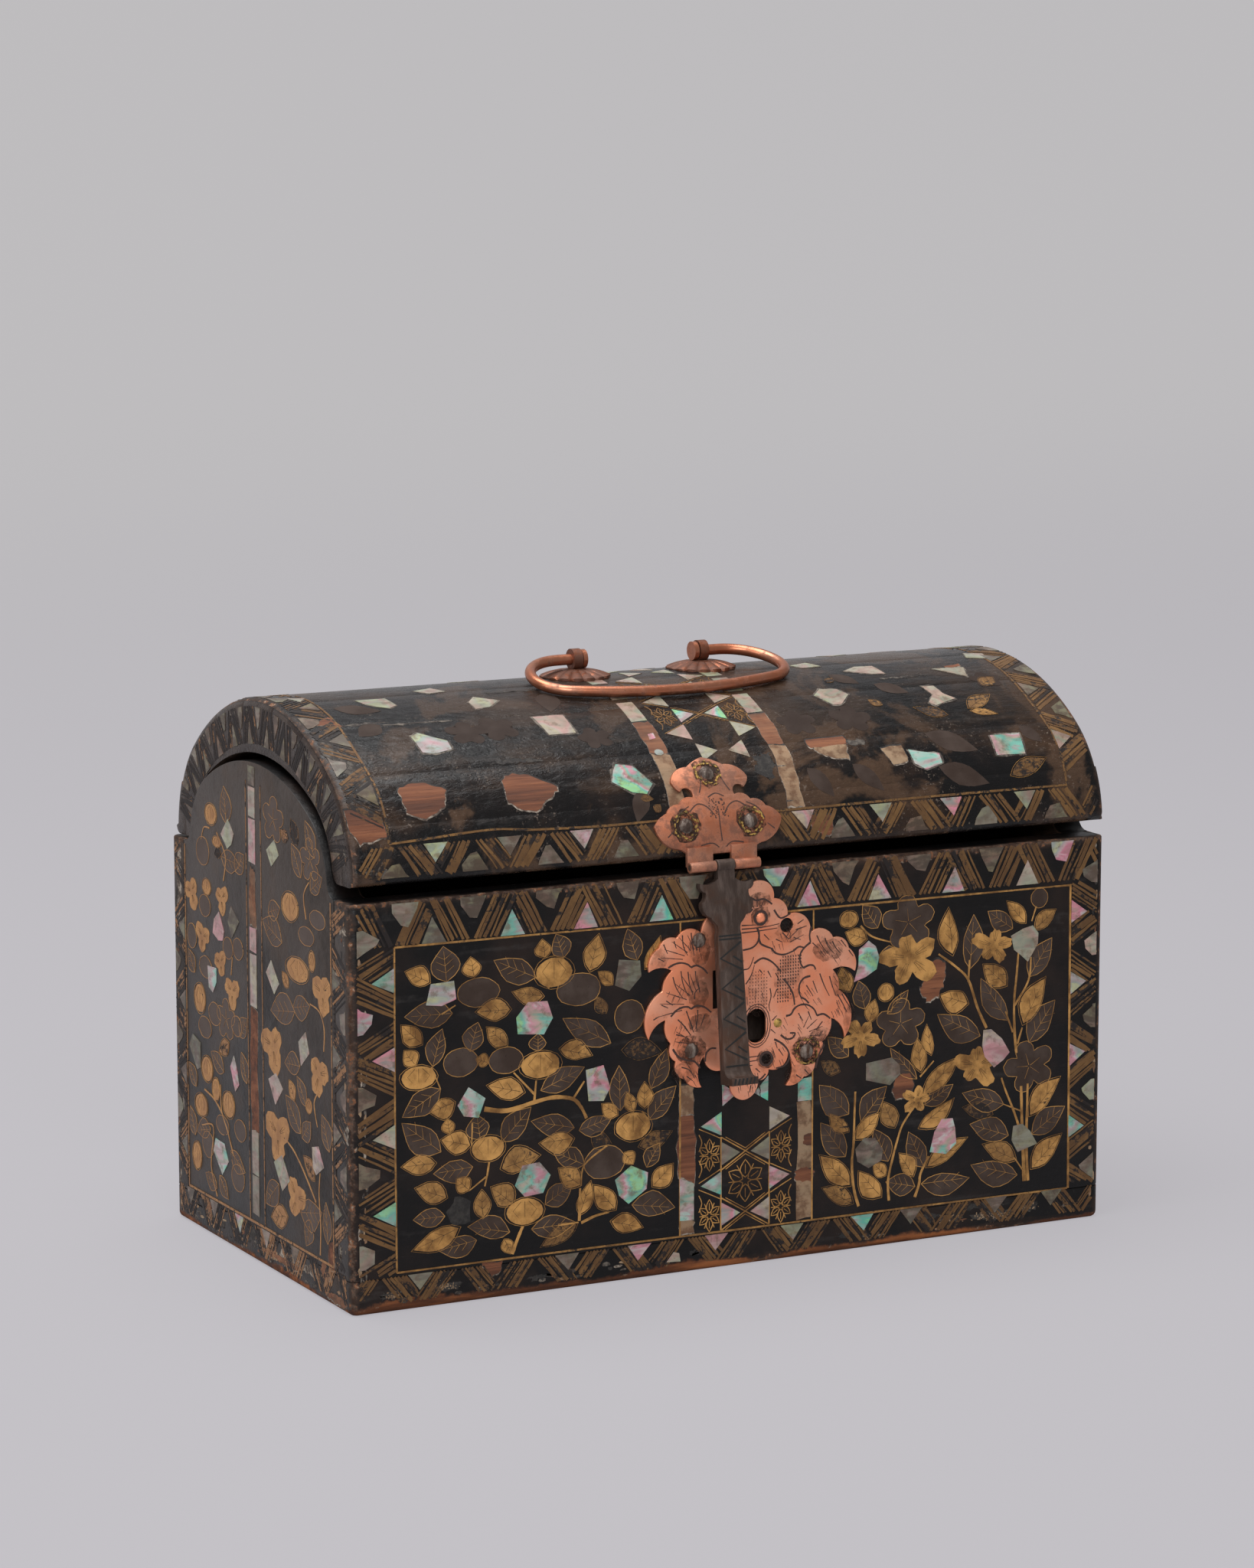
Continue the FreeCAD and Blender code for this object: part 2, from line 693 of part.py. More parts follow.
def lock_spring():
    """A bowed leaf spring on its post, bearing on the top of the bolt."""
    leaf, bow = size.spring_thickness, size.spring_bow
    post_x, post_z = well_right - size.spring_inset, well_high - size.spring_inset
    tip_x = bolt_tip + size.bolt_tip_length + size.guide_width + size.spring_tip_gap
    tip_z = staple_z + (size.bolt_height + size.bolt_play) / 2
    outline = [(post_x, post_z, -bow), (tip_x, tip_z, 0), (tip_x - leaf, tip_z + leaf, bow),
               (post_x, post_z + leaf, 0)]
    place = Placement(Vector(0, size.bolt_thickness - bolt_face, 0), facing_front)
    strip = extruded("lock_spring_leaf", place, closed(outline), "Sizes.bolt_thickness")
    post = cylinder("lock_spring_post", "Sizes.nail_shank_radius", "Sizes.board_thickness - Sizes.bolt_play",
                    Vector(post_x, -inner_half_depth, post_z + leaf / 2), FRONT)
    return fused("lock_spring", [strip, post])


keep(lock_spring())


# Trefoil sheets bent over the lid, and flat ones on the back board

def trefoil(width, height):
    """A three-lobed leaf seen flat: square foot at y 0, two side leaves with curled necks, a pointed head."""
    half = [(0, 1.0, 0.1), (0.28, 0.9, 0.35), (0.6, 0.745, 0.2), (0.5, 0.635, -1.0), (0.33, 0.565, 0.4),
            (0.56, 0.505, 0.35), (0.78, 0.425, 0.2), (1.0, 0.3, 0.3), (0.71, 0.075, -0.2), (0.5, 0, 0),
            (0, 0, 0)]
    return mirrored([(x * width / 2, y * height, bulge) for x, y, bulge in half])


TREFOIL_NAILS = ((0.0, 0.81), (-0.51, 0.29), (0.51, 0.29))


def lid_place(x, run, side):
    """A place on the lid's front (side -1) or back (side 1), a run up from its foot, facing outward."""
    lean = run / lid_arch.shoulder
    spot = lid_arch.point(lean)
    face = Rotation(RIGHT, 90 - math.degrees(lean))
    if side > 0:
        face = Rotation(UP, 180) * face
    return Placement(Vector(x, side * spot.x, spot.y), face)


def lid_sheet(label, x, side, width, height, rise):
    """A trefoil sheet bent to the lid's front (side -1) or back (side 1)."""
    leaf = extruded(label + "_leaf", lid_place(x, rise + height / 2, side),
                    closed(moved(trefoil(width, height), 0, -height / 2)),
                    "Sizes.lid_shoulder / 2", "Sizes.lid_shoulder / 2")
    first, last = (0.0, math.pi / 2) if side > 0 else (math.pi / 2, math.pi)
    layer = lid_arch.band(size.seat_gap, size.seat_gap + size.sheet_thickness, first, last)
    skin = extruded(label + "_skin", Placement(Vector(x - width, 0, 0), facing_right), layer, str(2 * width))
    return common(label + "_sheet", skin, leaf)


def lid_nails(label, x_places, side, width, height, rise):
    """The three nails of each bent sheet, square to the lid."""
    nails = []
    for x in x_places:
        for across_share, up_share in TREFOIL_NAILS:
            place = lid_place(x + across_share * width / 2, rise + up_share * height, side)
            outward = place.Rotation.multVec(UP)
            head = place.Base + outward * (size.seat_gap + size.sheet_thickness)
            nails.append(nail(head, outward * -1, size.nail_length))
    return group(label, nails)


def knuckle(name, x, length, radius, axis):
    """A round bar or barrel along X, starting at x."""
    return cylinder(name, radius, str(length), Vector(x, axis.y, axis.z), RIGHT)


def pin_hole(label, solid, x, radius, axis):
    """Bores a pin's hole along X right through a solid, about x."""
    start = Vector(x - lid_length / 2, axis.y, axis.z)
    bore = cylinder(label + "_bore", radius, LID_LENGTH, start, RIGHT)
    return cut(label, solid, bore)


hasp_axis = Vector(size.hasp_x, pin_y, pin_z)
barrel_left = size.hasp_x - size.hasp_barrel_length / 2
loop_half = size.hasp_loop_width / 2
ear = size.hasp_barrel_length / 2 - loop_half - size.knuckle_gap


def hasp_plate():
    """The lid's trefoil sheet with two knuckles for the hasp's pin below it."""
    solids = [lid_sheet("hasp_plate", size.hasp_x, -1, size.hasp_plate_width, size.hasp_plate_height,
                        size.hasp_plate_rise)]
    tab_back = -half_depth - size.knuckle_gap
    tab_front = tab_back - size.tab_thickness
    for number, x in enumerate((barrel_left, barrel_left + size.hasp_barrel_length - ear), start=1):
        solids.append(knuckle("hasp_plate_knuckle_%d" % number, x, ear, "Sizes.hasp_knuckle_radius",
                              hasp_axis))
        solids.append(block("hasp_plate_tab_%d" % number, Vector(x, tab_front, pin_z),
                            Vector(x + ear, tab_back, lid_foot + size.hasp_plate_rise + size.tab_lap)))
    return pin_hole("hasp_plate", fused("hasp_plate_metal", solids), size.hasp_x, "Sizes.hasp_pin_radius",
                    hasp_axis)


keep(hasp_plate(), lid_tilt)
keep(lid_nails("hasp_plate_nails", [size.hasp_x], -1, size.hasp_plate_width, size.hasp_plate_height,
               size.hasp_plate_rise), lid_tilt)
keep(knuckle("hasp_pin", barrel_left, size.hasp_barrel_length, "Sizes.hasp_pin_radius", hasp_axis), lid_tilt)


# Hasp: an iron strap with a waisted head, a turned-out lip and a staple for the bolt
strap_back = -plate_face - size.hasp_clearance
strap_front = strap_back - size.hasp_thickness
hasp_swing = lid_tilt * Placement(Vector(), Rotation(Vector(-1, 0, 0), size.hasp_rest_angle), hasp_axis)


HASP_FOOT_SPREAD = 1.12


def hasp():
    """The iron strap: its outline in shares of its half width and of its length below the pin."""
    loop_share, spread = loop_half / size.hasp_half_width, HASP_FOOT_SPREAD
    shares = [(0, 0.009, 0), (loop_share, 0.009, 0), (loop_share, 0.06, -0.3), (2.24, 0.074, 0.5),
              (1.84, 0.118, -0.35), (2.14, 0.165, 0.4), (1.5, 0.232, 0.1), (1.02, 0.268, -0.2),
              (1, 0.317, 0), (spread, 1, 0), (0, 1, 0)]
    half = [(x * size.hasp_half_width, -drop * size.hasp_length, bulge) for x, drop, bulge in shares]
    strap = extruded("hasp_strap", Placement(Vector(0, strap_back, 0), facing_front),
                     closed(moved(mirrored(half), size.hasp_x, pin_z)), "Sizes.hasp_thickness")
    low, lip = pin_z - size.hasp_length, size.hasp_lip
    lip_outline = [(strap_back, low, 0), (strap_back, low + lip, 0), (strap_front, low + lip, 0.4),
                   (strap_front - lip, low + lip / 2, 0), (strap_front - lip, low, 0)]
    lip_half = spread * size.hasp_half_width
    turned_out = extruded("hasp_lip_bend", Placement(Vector(size.hasp_x - lip_half, 0, 0), facing_right),
                          closed(lip_outline), str(2 * lip_half))
    loop = knuckle("hasp_loop", size.hasp_x - loop_half, size.hasp_loop_width, "Sizes.hasp_loop_radius",
                   hasp_axis)
    return pin_hole("hasp", fused("hasp_metal", [strap, turned_out, loop]), size.hasp_x,
                    "Sizes.hasp_pin_radius + Sizes.running_gap", hasp_axis)


def hasp_staple():
    """The squared loop on the hasp's back that the lock bolt enters."""
    inner = -bolt_face + size.bolt_thickness + size.bolt_play / 2
    outer = inner + size.staple_wall
    low, high, wall = staple_z - size.staple_height / 2, staple_z + size.staple_height / 2, size.staple_wall
    outline = [(strap_back, low, 0), (inner, low, -QUARTER_ROUND), (outer, low + wall, 0),
               (outer, high - wall, -QUARTER_ROUND), (inner, high, 0), (strap_back, high, 0),
               (strap_back, high - wall, 0), (inner, high - wall, 0), (inner, low + wall, 0),
               (strap_back, low + wall, 0)]
    return extruded("hasp_staple", Placement(Vector(size.hasp_x - size.staple_width / 2, 0, 0), facing_right),
                    closed(outline), "Sizes.staple_width")


keep(hasp(), hasp_swing)
keep(hasp_staple(), hasp_swing)


# Rear hinges: a flat leaf on the back board, a bent leaf on the lid and a pin
centre_knuckle = size.hinge_barrel_length / 3
outer_knuckle = centre_knuckle - size.knuckle_gap


def box_leaf(label, x):
    """The leaf on the back board with the two outer knuckles."""
    top = size.rim_height - size.hinge_leaf_drop
    face_back = Rotation(UP, 180) * facing_front * Rotation(UP, 180)
    leaf = extruded(label + "_leaf", Placement(Vector(x, half_depth, top), face_back),
                    closed(trefoil(size.hinge_width, size.hinge_leaf_height)), "Sizes.sheet_thickness")
    solids = [leaf]
    starts = (x - size.hinge_barrel_length / 2, x + centre_knuckle / 2 + size.knuckle_gap)
    for number, start in enumerate(starts, start=1):
        solids.append(knuckle("%s_knuckle_%d" % (label, number), start, outer_knuckle,
                              "Sizes.hinge_knuckle_radius", hinge_axis))
        solids.append(block("%s_tab_%d" % (label, number), Vector(start, half_depth, top - size.tab_lap),
                            Vector(start + outer_knuckle, half_depth + size.tab_thickness, hinge_axis.z)))
    return pin_hole(label, fused(label + "_metal", solids), x, "Sizes.hinge_pin_radius", hinge_axis)


def lid_leaf(label, x):
    """The leaf on the lid's back with the middle knuckle."""
    sheet_part = lid_sheet(label, x, 1, size.hinge_width, size.hinge_leaf_height, size.hinge_leaf_drop)
    start = x - centre_knuckle / 2
    middle = knuckle(label + "_knuckle", start, centre_knuckle, "Sizes.hinge_knuckle_radius", hinge_axis)
    tab_back = half_depth + size.knuckle_gap / 2
    tab = block(label + "_tab", Vector(start, tab_back, hinge_axis.z),
                Vector(start + centre_knuckle, tab_back + size.tab_thickness,
                       lid_foot + size.hinge_leaf_drop + size.tab_lap))
    return pin_hole(label, fused(label + "_metal", [sheet_part, middle, tab]), x,
                    "Sizes.hinge_pin_radius + Sizes.running_gap", hinge_axis)


hinge_places = {"left": size.hinge_inset - half_width, "right": half_width - size.hinge_inset}
for side, x in hinge_places.items():
    keep(box_leaf(side + "_hinge_box_leaf", x))
    keep(lid_leaf(side + "_hinge_lid_leaf", x), lid_tilt)
    keep(knuckle(side + "_hinge_pin", x - size.hinge_barrel_length / 2, size.hinge_barrel_length,
                 "Sizes.hinge_pin_radius", hinge_axis))
box_leaf_nails = [nail(Vector(x + share * size.hinge_width / 2, plate_face,
                              size.rim_height - size.hinge_leaf_drop - drop * size.hinge_leaf_height),
                       FRONT, size.nail_length)
                  for x in hinge_places.values() for share, drop in TREFOIL_NAILS]
keep(group("hinge_box_nails", box_leaf_nails))
keep(lid_nails("hinge_lid_nails", hinge_places.values(), 1, size.hinge_width, size.hinge_leaf_height,
               size.hinge_leaf_drop), lid_tilt)


# Carrying bail on two eyes, each through a petalled rosette and clenched under the crown
crown_top = lid_foot + size.lid_rise
eye_z = crown_top + size.eye_height
handle_places = {"left": size.lid_shift - size.handle_spacing / 2,
                 "right": size.lid_shift + size.handle_spacing / 2}


def rosette(label, x):
    """A low coned washer with a petalled edge, seated on the curve of the lid."""
    radius, rim, tall = size.rosette_radius, size.rosette_rim, size.rosette_height
    petal = math.pi / ROSETTE_PETALS
    tips = []
    for number in range(ROSETTE_PETALS):
        angle = 2 * petal * number
        tips.append((radius * math.cos(angle), radius * math.sin(angle), -0.35))
    below = size.rosette_radius ** 2 / lid_arch.crown
    petals = extruded(label + "_petals", Placement(Vector(x, 0, crown_top - below), Rotation()), closed(tips),
                      str(below + 2 * tall))
    flat = 2 * size.eye_shank_radius
    dish = doc.addObject("Part::Cone", label + "_dish")
    dish.Height = below + rim + tall
    dish.Radius1 = flat + (radius - flat) * dish.Height.Value / tall
    dish.Radius2 = flat
    dish.Placement = Placement(Vector(x, 0, crown_top - below), Rotation())
    vault = cylinder(label + "_vault", str(lid_arch.crown + size.seat_gap), str(4 * radius),
                     Vector(x - 2 * radius, 0, lid_arch.crown_z), RIGHT)
    seated = cut(label + "_seated", common(label + "_dished", petals, dish), vault)
    bore = cylinder(label + "_bore", "Sizes.eye_shank_radius + Sizes.running_gap", str(below + 4 * tall),
                    Vector(x, 0, crown_top - below), UP)
    return cut(label, seated, bore)


def handle_eye(label, x):
    """An eye on a shank through rosette and lid, its two legs spread and clenched inside."""
    axis = Vector(0, 0, eye_z)
    ring = knuckle(label + "_ring", x - size.eye_width / 2, size.eye_width, "Sizes.eye_radius", axis)
    under = size.stave_thickness + size.seat_gap
    leg = 2 * size.eye_shank_radius
    spread = size.eye_leg_length / (lid_arch.crown - under)
    shank_foot = crown_top - under - leg / 2
    shank = cylinder(label + "_shank", "Sizes.eye_shank_radius", str(eye_z - shank_foot),
                     Vector(x, 0, shank_foot), UP)
    legs = extruded(label + "_legs", Placement(Vector(x - leg / 2, 0, 0), facing_right),
                    lid_arch.band(-under - leg / 2, -under, math.pi / 2 - spread, math.pi / 2 + spread),
                    "2 * Sizes.eye_shank_radius")
    return pin_hole(label, fused(label + "_metal", [ring, shank, legs]), x,
                    "Sizes.bail_wire_radius + Sizes.running_gap", axis)


def bend(name, x, y, radius, first, last):
    """A stretch of the bail's wire bent about (x, y), from one angle to another."""
    ring = doc.addObject("Part::Torus", name)
    ring.Radius1 = radius
    ring.setExpression("Radius2", "Sizes.bail_wire_radius")
    ring.Angle3 = last - first
    ring.Placement = Placement(Vector(x, y, 0), Rotation(UP, first))
    return ring


def bail():
    """The bail, flat in its own plane: ends through the eyes, elbows out, corners and a gently bowed bar."""
    elbow, corner = size.bail_elbow, size.bail_corner
    bow = Arch(size.bail_half_width, size.bail_reach - elbow, corner, elbow)
    elbow_x = size.bail_half_width - elbow
    head_x = (size.handle_spacing - size.eye_width) / 2 - size.knuckle_gap - size.bail_head_length
    turn = math.degrees(bow.turn)
    solids = [bend("bail_bar", 0, -bow.crown_z, bow.crown, turn - 180, -turn),
              bend("bail_right_corner", bow.foot, -elbow, corner, -turn, 0),
              bend("bail_left_corner", -bow.foot, -elbow, corner, -180, turn - 180),
              bend("bail_right_elbow", elbow_x, -elbow, elbow, 0, 90),
              bend("bail_left_elbow", -elbow_x, -elbow, elbow, 90, 180)]
    for side, start, head in (("right", head_x, head_x), ("left", -elbow_x, -head_x - size.bail_head_length)):
        solids.append(cylinder("bail_%s_end" % side, "Sizes.bail_wire_radius", str(elbow_x - head_x),
                               Vector(start, 0, 0), RIGHT))
        solids.append(cylinder("bail_%s_head" % side, "Sizes.bail_head_radius", "Sizes.bail_head_length",
                               Vector(head, 0, 0), RIGHT))
    return fused("bail_handle", solids)


bail_arm = eye_z - lid_arch.crown_z
bail_rest = lid_arch.crown + size.bail_wire_radius + size.bail_gap
bail_lean = (size.bail_reach ** 2 + bail_arm ** 2 - bail_rest ** 2) / (2 * size.bail_reach * bail_arm)
bail_drop = math.degrees(math.asin(bail_lean))
for side, x in handle_places.items():
    keep(rosette(side + "_rosette", x), lid_tilt)
    keep(handle_eye(side + "_handle_eye", x), lid_tilt)
keep(bail(), lid_tilt * Placement(Vector(size.lid_shift, 0, eye_z), Rotation(RIGHT, bail_drop)))


def report_places():
    """Prints where the joints lie at rest, in millimetres, and their useful angles."""
    print("lid hinge", hinge_axis, "hasp pin", lid_tilt.multVec(hasp_axis))
    print("bail axis", lid_tilt.multVec(Vector(size.lid_shift, 0, eye_z)), "drop", bail_drop)


def finish():
    """Stops on a failed or broken piece, then writes each node's solid."""
    doc.recompute()
    for item in doc.Objects:
        if "Invalid" in item.State or "Error" in item.State:
            raise RuntimeError("%s failed: %s" % (item.Label, item.State))
    os.makedirs("parts", exist_ok=True)
    for node in nodes:
        if node.Shape.isNull() or not node.Shape.isValid():
            raise RuntimeError("%s has no valid shape" % node.Label)
        node.Shape.exportStep(os.path.join("parts", node.Label + ".step"))
        print("%-24s %2d solids %10.1f mm3" % (node.Label, len(node.Shape.Solids), node.Shape.Volume))


finish()
report_places()
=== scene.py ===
import bmesh
import bpy
import math
import random
from collections import namedtuple
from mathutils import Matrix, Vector


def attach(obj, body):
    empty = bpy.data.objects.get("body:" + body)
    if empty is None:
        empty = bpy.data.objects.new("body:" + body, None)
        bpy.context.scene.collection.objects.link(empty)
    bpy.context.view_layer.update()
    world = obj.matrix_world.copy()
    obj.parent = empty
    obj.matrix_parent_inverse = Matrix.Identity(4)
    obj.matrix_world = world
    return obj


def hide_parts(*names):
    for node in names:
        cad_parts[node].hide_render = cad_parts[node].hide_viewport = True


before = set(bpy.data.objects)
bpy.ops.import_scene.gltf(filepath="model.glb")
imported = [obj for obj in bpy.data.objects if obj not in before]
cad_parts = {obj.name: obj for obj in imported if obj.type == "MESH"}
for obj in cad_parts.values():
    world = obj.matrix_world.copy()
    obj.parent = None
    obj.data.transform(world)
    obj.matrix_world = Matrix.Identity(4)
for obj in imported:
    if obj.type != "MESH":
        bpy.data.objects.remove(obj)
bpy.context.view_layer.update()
mm = 0.001
dice = random.Random(11)
scene = bpy.context.scene
scene.view_settings.view_transform = "Standard"


# camera at the photograph's angle

view = {"place": (-0.60168, -1.15916, 0.33647), "turn": -27.302, "down": 9.318, "lens": 110.4,
        "sensor": 36, "near": 0.01}


def addCamera():
    lens = bpy.data.cameras.new("photoCamera")
    lens.lens = view["lens"]
    lens.sensor_width = view["sensor"]
    lens.clip_start = view["near"]
    camera = bpy.data.objects.new("photoCamera", lens)
    camera.location = view["place"]
    camera.rotation_euler = (math.radians(90 - view["down"]), 0, math.radians(view["turn"]))
    scene.collection.objects.link(camera)
    scene.camera = camera


addCamera()
print("camera placed")


# shape of the coffer in millimetres

boxForm = {"end": 114, "front": 59.8, "top": 108, "board": 8.5}
lidForm = {"half": 59.6, "rise": 42.9, "shoulder": 34.0, "spring": 108.4, "tilt": 1.75, "hinge": (62.3, 108.2),
           "left": -112.4, "right": 114.0}
haspForm = {"x": -6.6, "pin": (-62.2, 106.3), "front": -63.15, "swing": 5.4, "lip": 4.0}
plateForm = {"front": 60.6, "onLid": 0.85}


# shader maths

class Wire:  # a socket that takes part in sums
    def __init__(self, paint, socket):
        self.paint = paint
        self.socket = socket

    def maths(self, operation, first, second):
        return self.paint.node("Math", {"operation": operation}, [first, second])

    def __add__(self, other):
        return self.maths("ADD", self, other)

    def __radd__(self, other):
        return self.maths("ADD", other, self)

    def __sub__(self, other):
        return self.maths("SUBTRACT", self, other)

    def __rsub__(self, other):
        return self.maths("SUBTRACT", other, self)

    def __mul__(self, other):
        return self.maths("MULTIPLY", self, other)

    def __rmul__(self, other):
        return self.maths("MULTIPLY", other, self)

    def __gt__(self, other):
        return self.maths("GREATER_THAN", self, other)

    def __lt__(self, other):
        return self.maths("LESS_THAN", self, other)

    def low(self, other):
        return self.maths("MINIMUM", self, other)

    def high(self, other):
        return self.maths("MAXIMUM", self, other)

    def size(self):
        return self.maths("ABSOLUTE", self, 0)


class Paint:  # one material and its nodes
    def __init__(self, name, **fixed):
        self.material = bpy.data.materials.new(name)
        self.material.use_nodes = True
        self.tree = self.material.node_tree
        self.shader = self.tree.nodes["Principled BSDF"]
        for socket, value in fixed.items():
            self.shader.inputs[socket.replace("_", " ")].default_value = value
        self.spot = self.node("TexCoord", out="Object")

    def node(self, kind, settings=None, sockets=None, out=0):
        item = self.tree.nodes.new("ShaderNode" + kind)
        for key, value in (settings or {}).items():
            if key == "stops":
                self.setStops(item.color_ramp, value)
            else:
                setattr(item, key, value)
        pairs = sockets.items() if isinstance(sockets, dict) else enumerate(sockets or [])
        for key, value in pairs:
            if isinstance(value, Wire):
                self.tree.links.new(value.socket, item.inputs[key])
            else:
                item.inputs[key].default_value = value
        return Wire(self, item.outputs[out])

    def setStops(self, ramp, stops):
        while len(ramp.elements) < len(stops):
            ramp.elements.new(0.5)
        for element, (place, colour) in zip(ramp.elements, stops):
            element.position = place
            element.color = (*colour, 1)

    def feed(self, **links):
        for socket, wire in links.items():
            self.tree.links.new(wire.socket, self.shader.inputs[socket.replace("_", " ")])

    def noise(self, scale, detail=4.0, rough=0.55, at=None, twist=0.0):
        return self.node("TexNoise", None, {"Vector": at or self.spot, "Scale": scale, "Detail": detail,
                                            "Roughness": rough, "Distortion": twist})

    def streak(self, x, y, z, detail, rough, twist=0.0):  # noise with a scale of its own on each axis
        at = self.node("Mapping", None, {"Vector": self.spot, "Scale": (x, y, z)})
        return self.noise(1.0, detail, rough, at, twist)

    def ramp(self, value, *stops):
        return self.node("ValToRGB", {"stops": stops}, [value])

    def step(self, value, low, high):
        return self.node("MapRange", {"interpolation_type": "SMOOTHSTEP"},
                         {"Value": value, "From Min": low, "From Max": high})

    def mix(self, share, first, second, blend="MIX"):
        sockets = {0: share, 6: first, 7: second}
        for key in (6, 7):
            if not isinstance(sockets[key], Wire):
                sockets[key] = (*sockets[key], 1)
        return self.node("Mix", {"data_type": "RGBA", "blend_type": blend}, sockets, out=2)

    def bump(self, height, strength, distance):  # distance in millimetres
        normal = self.node("Bump", None, {"Height": height, "Strength": strength, "Distance": distance * mm})
        self.feed(Normal=normal)

    def axes(self):  # the place on the object in millimetres
        parts = [self.node("SeparateXYZ", None, [self.spot], out=axis) for axis in range(3)]
        return [part * 1000 for part in parts]

    def facing(self):
        return self.node("TexCoord", out="Normal")

    def endOn(self):  # 1 on faces that look along the length
        return self.step(self.node("SeparateXYZ", None, [self.facing()]).size(), 0.75, 0.9)

    def tint(self):
        return self.node("Attribute", {"attribute_name": "tint"}, out="Fac")


# finishes

lacquerLook = {
    "black": (0.0042, 0.0038, 0.0040), "brown": (0.016, 0.0095, 0.0075), "haze": (0.040, 0.035, 0.033),
    "rub": (0.045, 0.022, 0.013), "tea": (0.046, 0.024, 0.012), "dust": (0.064, 0.046, 0.036),
    "bareWood": (0.15, 0.055, 0.022), "pale": (0.22, 0.18, 0.14), "grit": (0.13, 0.10, 0.08),
    "patch": (0.082, 0.046, 0.027), "ring": (0.038, 0.027, 0.022), "endHazeAndSheen": (0.043, 0.037, 0.035),
    "inside": (0.050, 0.030, 0.020), "insideLight": (0.075, 0.043, 0.026),
    "footDark": (0.020, 0.008, 0.005), "footBrown": (0.085, 0.028, 0.011), "footRed": (0.22, 0.075, 0.026),
    "lid": {"specular": 0.24, "gloss": 0.10, "grain": 0.35, "crackle": 0.8, "axis": (0.0, 0.0, 0.09)},
    "box": {"specular": 0.2, "gloss": 0.22, "grain": 0.8, "crackle": 0.5}}


def lidCoat(paint, colour, place, cloud, fine, grain):  # brown patches, grit, plainer rings at the ends, and painted shade on the crown
    look, own = lacquerLook, lacquerLook["lid"]
    x, z = place[0], place[2]
    ring = paint.endOn()
    crown = paint.step(z, 132, 146) * (1 - ring)
    thin = paint.step(cloud * 0.8 + grain * 0.4 + crown * 0.06, 0.60, 0.78)
    colour = paint.mix(thin * 0.55, colour, look["tea"])
    patch = paint.step(paint.noise(34, 5, 0.6, None, 0.5), 0.50, 0.57)  # the top coat has gone
    colour = paint.mix(patch * (0.35 + 0.4 * fine), colour, look["patch"])
    grit = paint.step(paint.noise(1100, 3, 0.7), 0.58, 0.68) * paint.step(paint.noise(75, 3), 0.46, 0.66)
    colour = paint.mix(grit * 0.85 * (1 - ring), colour, look["grit"])
    # painted shade: the crown of the vault is darkened towards black
    colour = paint.mix(crown * 0.42, colour, look["black"])
    ringTone = paint.mix(paint.step(paint.streak(60, 150, 150, 4, 0.6), 0.35, 0.7), look["ring"], look["brown"])
    colour = paint.mix(ring, colour, ringTone)
    middle, half = (lidForm["left"] + lidForm["right"]) / 2, (lidForm["right"] - lidForm["left"]) / 2
    across = half - (x - middle).size()
    edge = across.high(0) + 20 * ring
    fromAxis = paint.node("VectorMath", {"operation": "SUBTRACT"}, [paint.spot, own["axis"]])
    inward = paint.node("VectorMath", {"operation": "DOT_PRODUCT"}, [paint.facing(), fromAxis], out="Value")
    hidden = paint.step(inward, 0.0, -0.004) * paint.step(across, 0.2, 0.6)
    crackle = paint.streak(240, 620, 620, 4, 0.7, 0.6)
    return colour, edge, hidden, crackle


def boxCoat(paint, colour, place, cloud, fine):  # hazy, stained ends, with a painted sheen
    look = lacquerLook
    x, y, z = place
    board = boxForm["board"]
    sideX, sideY = boxForm["end"] - x.size(), boxForm["front"] - y.size()
    sideZ = z.low(boxForm["top"] - z + 1000 * (sideY > board + 0.1))
    lowest = sideX.low(sideY).low(sideZ)
    highest = sideX.high(sideY).high(sideZ)
    edge = (sideX + sideY + sideZ - lowest - highest).high(0)  # the second nearest side
    hidden = (sideX > board) * (sideY > board) * (z > board)
    endFace = paint.endOn()
    # the end faces are hazed lighter: partly real haze, partly a painted sheen
    colour = paint.mix(endFace * paint.step(cloud * 0.7 + fine * 0.4, 0.35, 0.72) * 0.85, colour, look["endHazeAndSheen"])
    stained = paint.step(paint.noise(55, 4, 0.6), 0.50, 0.66)
    colour = paint.mix(endFace * stained * 0.35, colour, look["tea"])
    # the ends grow lighter towards the top
    colour = paint.mix(endFace * paint.step(z + 60 * cloud, 70, 140) * 0.3, colour, look["dust"])
    return colour, edge, hidden, fine


